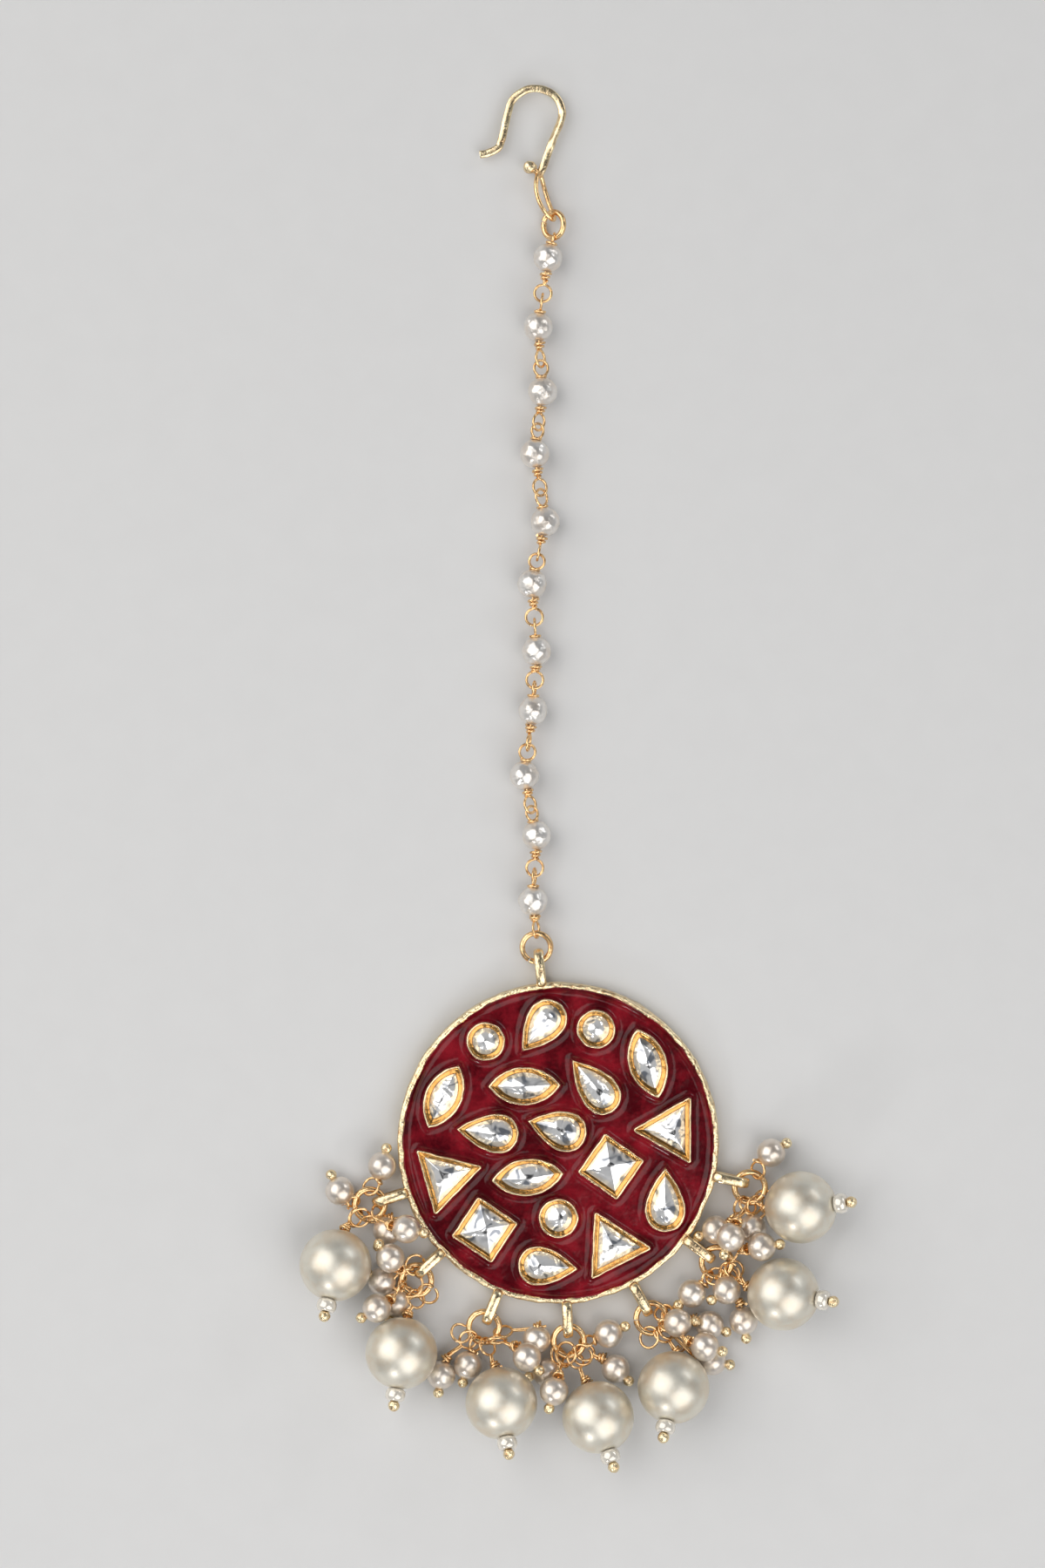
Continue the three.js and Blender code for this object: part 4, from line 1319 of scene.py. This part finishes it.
# How far the upper link's eye is rolled at each place where two links meet, in degrees. The lower link's
# eye is square to it.
EYE_TURNS = [90, 90, 30, 40, 50, 0, 90, 80, 10, 40, 80, 20]
CHAIN_EYE_SHARE = 0.92
UPPER_WRAPS, LOWER_WRAPS = 1.2, 2.2
# How far an eye reaches past the place where it is held, in radii of its wire, on a link and at a ring.
LINK_OVERLAP, RING_OVERLAP = 2.4, 3.2


class JEWEL_OT_chain(bpy.types.Operator):
    """String the chain: each pearl on its own pin, with a wrapped eye at both ends"""

    bl_idname = "jewel.chain"
    bl_label = "Pearl Chain"

    def execute(self, context):
        sizes = context.scene.jewel_sizes
        wire, eye_radius = sizes.wire_radius, sizes.eye_radius * CHAIN_EYE_SHARE
        beads = [crown_of(node, BEAD_RADIUS) for node in CHAIN_NODES]
        top, _ = ring_facts("top_ring")
        bail, bail_radius = ring_facts("bail_ring")
        above = top - Vector((0, TOP_RING_HOLD, 0))
        below = bail + Vector((0, bail_radius, 0))
        stops = [above, *(a.lerp(b, CHAIN_MEET) for a, b in zip(beads, beads[1:])), below]
        for i, (node, bead) in enumerate(zip(CHAIN_NODES, beads)):
            overlap = RING_OVERLAP if node in (CHAIN_NODES[0], CHAIN_NODES[-1]) else LINK_OVERLAP
            paths = []
            upper = (stops[i], EYE_TURNS[i] + 90, UPPER_WRAPS)
            lower = (stops[i + 1], EYE_TURNS[i + 1], LOWER_WRAPS)
            for stop, turn, wraps in (upper, lower):
                along = (stop - bead).normalized()
                far = stop + along * wire * overlap
                hole = bead + along * (BEAD_RADIUS - HOLE_DEPTH)
                level = UP.cross(along).normalized()
                lean = math.radians(turn)
                normal = level * math.cos(lean) + UP * math.sin(lean)
                paths.append(wrapped_eye(hole, far, normal, eye_radius, wire, wraps))
            wire_piece(node + "_pin", paths, node, wire)
            drill = (stops[i + 1] - stops[i]).normalized()
            pearl_piece(node + "_pearl", [(bead, drill, BEAD_RADIUS)], node, "chain")
        return {"FINISHED"}


# How far past a large pearl its seed bead and its gold ball sit, the ball's radius, and how far its eye
# leans, in degrees.
SEED_GAP, TIP_GAP, TIP_RADIUS = 0.66 * MM, 1.9 * MM, 0.66 * MM
LARGE_LEAN = 50


class JEWEL_OT_large_drops(bpy.types.Operator):
    """Hang the large pearls, each with a seed bead and a gold ball on its pin"""

    bl_idname = "jewel.large_drops"
    bl_label = "Large Pearls"

    def execute(self, context):
        for name, heading, rise, seat in LARGE_DROPS:
            node = f"large_pearl_{name}"
            centre = crown_of(node, PEARL_RADIUS)
            outward = pointing(heading, rise)
            pearl_piece(node + "_nacre", [(centre, outward, PEARL_RADIUS)], node, "large")
            seed = seed_bead(centre + outward * (PEARL_RADIUS + SEED_GAP), outward)
            glass_piece(node + "_seed", node, "large_pearl", "Milk Glass", *seed)
            tip = centre + outward * (PEARL_RADIUS + TIP_GAP)
            pearl_piece(node + "_ball", [(tip, outward, TIP_RADIUS)], node, "pin end")
            hole = centre - outward * (PEARL_RADIUS - HOLE_DEPTH)
            wire = context.scene.jewel_sizes.wire_radius
            wire_piece(node + "_wire", [hung_wire(name, hole, seat, LARGE_LEAN)], node, wire)
        return {"FINISHED"}


SMALL_RADIUS = 0.99 * BEAD_RADIUS
SMALL_TIP_GAP, SMALL_TIP_RADIUS = 0.42 * MM, 0.62 * MM


def loose_loop(x, y, radius, tip, heading):
    """A thin open loop of wire that lies tipped over."""
    middle = Vector((x * MM, y * MM, LOOP_HEIGHT))
    tipped = Matrix.Rotation(math.radians(tip), 3, pointing(heading)) @ UP
    out = tipped.orthogonal().normalized()
    return jump_ring(middle, radius * MM, out, tipped, cut=0, gap=10), False


class JEWEL_OT_small_drops(bpy.types.Operator):
    """Hang the small pearls in a cluster on each drop ring"""

    bl_idname = "jewel.small_drops"
    bl_label = "Small Pearls"

    def execute(self, context):
        for name in RING_NAMES:
            node = f"small_pearls_{name}"
            pearls, balls, wires = [], [], []
            for _, x, y, z, heading, seat, lean in (row for row in SMALL_DROPS if row[0] == name):
                centre = Vector((x, y, z)) * MM
                outward = pointing(heading)
                pearls.append((centre, outward, SMALL_RADIUS))
                tip = centre + outward * (BEAD_RADIUS + SMALL_TIP_GAP)
                balls.append((tip, outward, SMALL_TIP_RADIUS))
                hole = centre - outward * (BEAD_RADIUS - HOLE_DEPTH)
                wires.append(hung_wire(name, hole, seat, lean))
            wires += [loose_loop(*row[1:]) for row in LOOSE_LOOPS if row[0] == name]
            pearl_piece(node + "_nacre", pearls, node, "small")
            pearl_piece(node + "_balls", balls, node, "pin end")
            wire_piece(node + "_wires", wires, node, context.scene.jewel_sizes.wire_radius)
        return {"FINISHED"}


def area_lamp(name, place, target, size, power, tint):
    data = bpy.data.lights.new(name, "AREA")
    data.shape = "RECTANGLE"
    data.size, data.size_y = size
    data.energy = power
    data.color = tint
    lamp = bpy.data.objects.new(name, data)
    bpy.context.scene.collection.objects.link(lamp)
    lamp.location = place
    lamp.rotation_euler = (target - place).to_track_quat("-Z", "Y").to_euler()


FLOOR_HALF = 1.5
LAMP_DISTANCE = 0.62
# How far the view's middle is from the jewel's, to its left and below it.
VIEW_SHIFT = Vector((6.2, 1.1, 0)) * MM

LAMPS = [
    # name, heading, rise, size, share of the power, tint
    ("left_box", 160, 47, (0.72, 0.78), 1.35, (1, 0.98, 0.95)),
    ("right_box", 309, 50, (0.60, 0.64), 0.95, (1, 0.98, 0.96)),
    ("low_front", 250, 22, (0.08, 0.08), 0.18, (1, 1, 1)),
    ("far_right", 40, 24, (0.30, 0.12), 0.16, (0.96, 0.98, 1)),
]


# Share of the way up from the horizon, and the sky's colour there.
SKY = [
    (0.0, (0.30, 0.31, 0.33)),
    (0.5, (0.24, 0.25, 0.26)),
    (0.8, (0.10, 0.11, 0.12)),
    (1.0, (0.04, 0.04, 0.05)),
]


def hang_sky(scene):
    """A plain sky that is pale at the horizon and dark overhead."""
    world = scene.world or bpy.data.worlds.new("Sky")
    scene.world = world
    world.use_nodes = True
    tree = world.node_tree
    background = tree.nodes["Background"]
    way = add_node(tree, "ShaderNodeTexCoord").outputs["Generated"]
    height = add_node(tree, "ShaderNodeSeparateXYZ", {0: way}).outputs["Z"]
    tone = ramp(tree, height, SKY)
    tree.links.new(tone, background.inputs["Color"])
    background.inputs["Strength"].default_value = 1.0


class JEWEL_OT_stage(bpy.types.Operator):
    """Lay the plain floor and set the lamps, the sky and the camera"""

    bl_idname = "jewel.stage"
    bl_label = "Stage"

    def execute(self, context):
        settings = context.scene.jewel_stage
        half = FLOOR_HALF
        corners = [(-half, -half, 0), (half, -half, 0), (half, half, 0), (-half, half, 0)]
        mesh = new_mesh("floor", corners, [(0, 1, 2, 3)])
        material, tree, shader, place = new_finish("Plain Floor")
        fill(tree, shader, floor_look(tree, place, tuple(settings.floor)))
        mesh.materials.append(material)
        floor = bpy.data.objects.new("floor", mesh)
        context.scene.collection.objects.link(floor)

        low, high = SOLID_BOX
        middle = Vector(((low.x + high.x) / 2, (low.y + high.y) / 2, 0)) - VIEW_SHIFT
        for name, turn, rise, size, share, tint in LAMPS:
            place = middle + pointing(turn, rise) * LAMP_DISTANCE
            area_lamp(name, place, middle, size, settings.lamp_power * share, tint)
        hang_sky(context.scene)
        context.scene.view_settings.view_transform = "Standard"

        camera_data = bpy.data.cameras.new("view")
        camera_data.lens = settings.lens
        camera = bpy.data.objects.new("view", camera_data)
        context.scene.collection.objects.link(camera)
        distance = settings.view_height * settings.lens / camera_data.sensor_width
        camera.location = middle + UP * distance
        context.scene.camera = camera
        return {"FINISHED"}


# ---- the add-on ----------------------------------------------------------------------------------

OPERATORS = (
    JEWEL_OT_disc,
    JEWEL_OT_enamel,
    JEWEL_OT_stones,
    JEWEL_OT_hook,
    JEWEL_OT_rings,
    JEWEL_OT_chain,
    JEWEL_OT_large_drops,
    JEWEL_OT_small_drops,
    JEWEL_OT_stage,
)


class JEWEL_PT_panel(bpy.types.Panel):
    """Makes the jewel, piece by piece"""

    bl_label = "Maang Tikka"
    bl_idname = "JEWEL_PT_panel"
    bl_space_type = "VIEW_3D"
    bl_region_type = "UI"
    bl_category = "Jewel"

    def draw(self, context):
        scene = context.scene
        for settings in (scene.jewel_sizes, scene.jewel_colours, scene.jewel_stage):
            box = self.layout.box()
            for name in settings.__annotations__:
                box.prop(settings, name)
        for operator in OPERATORS:
            self.layout.operator(operator.bl_idname)


CLASSES = (JewelSizes, JewelColours, JewelStage, *OPERATORS, JEWEL_PT_panel)


def register():
    for made in CLASSES:
        bpy.utils.register_class(made)
    bpy.types.Scene.jewel_sizes = PointerProperty(type=JewelSizes)
    bpy.types.Scene.jewel_colours = PointerProperty(type=JewelColours)
    bpy.types.Scene.jewel_stage = PointerProperty(type=JewelStage)


def unregister():
    del bpy.types.Scene.jewel_stage
    del bpy.types.Scene.jewel_colours
    del bpy.types.Scene.jewel_sizes
    for made in reversed(CLASSES):
        bpy.utils.unregister_class(made)


def main():
    register()
    for operator in OPERATORS:
        family, name = operator.bl_idname.split(".")
        getattr(getattr(bpy.ops, family), name)()


if __name__ == "__main__":
    main()
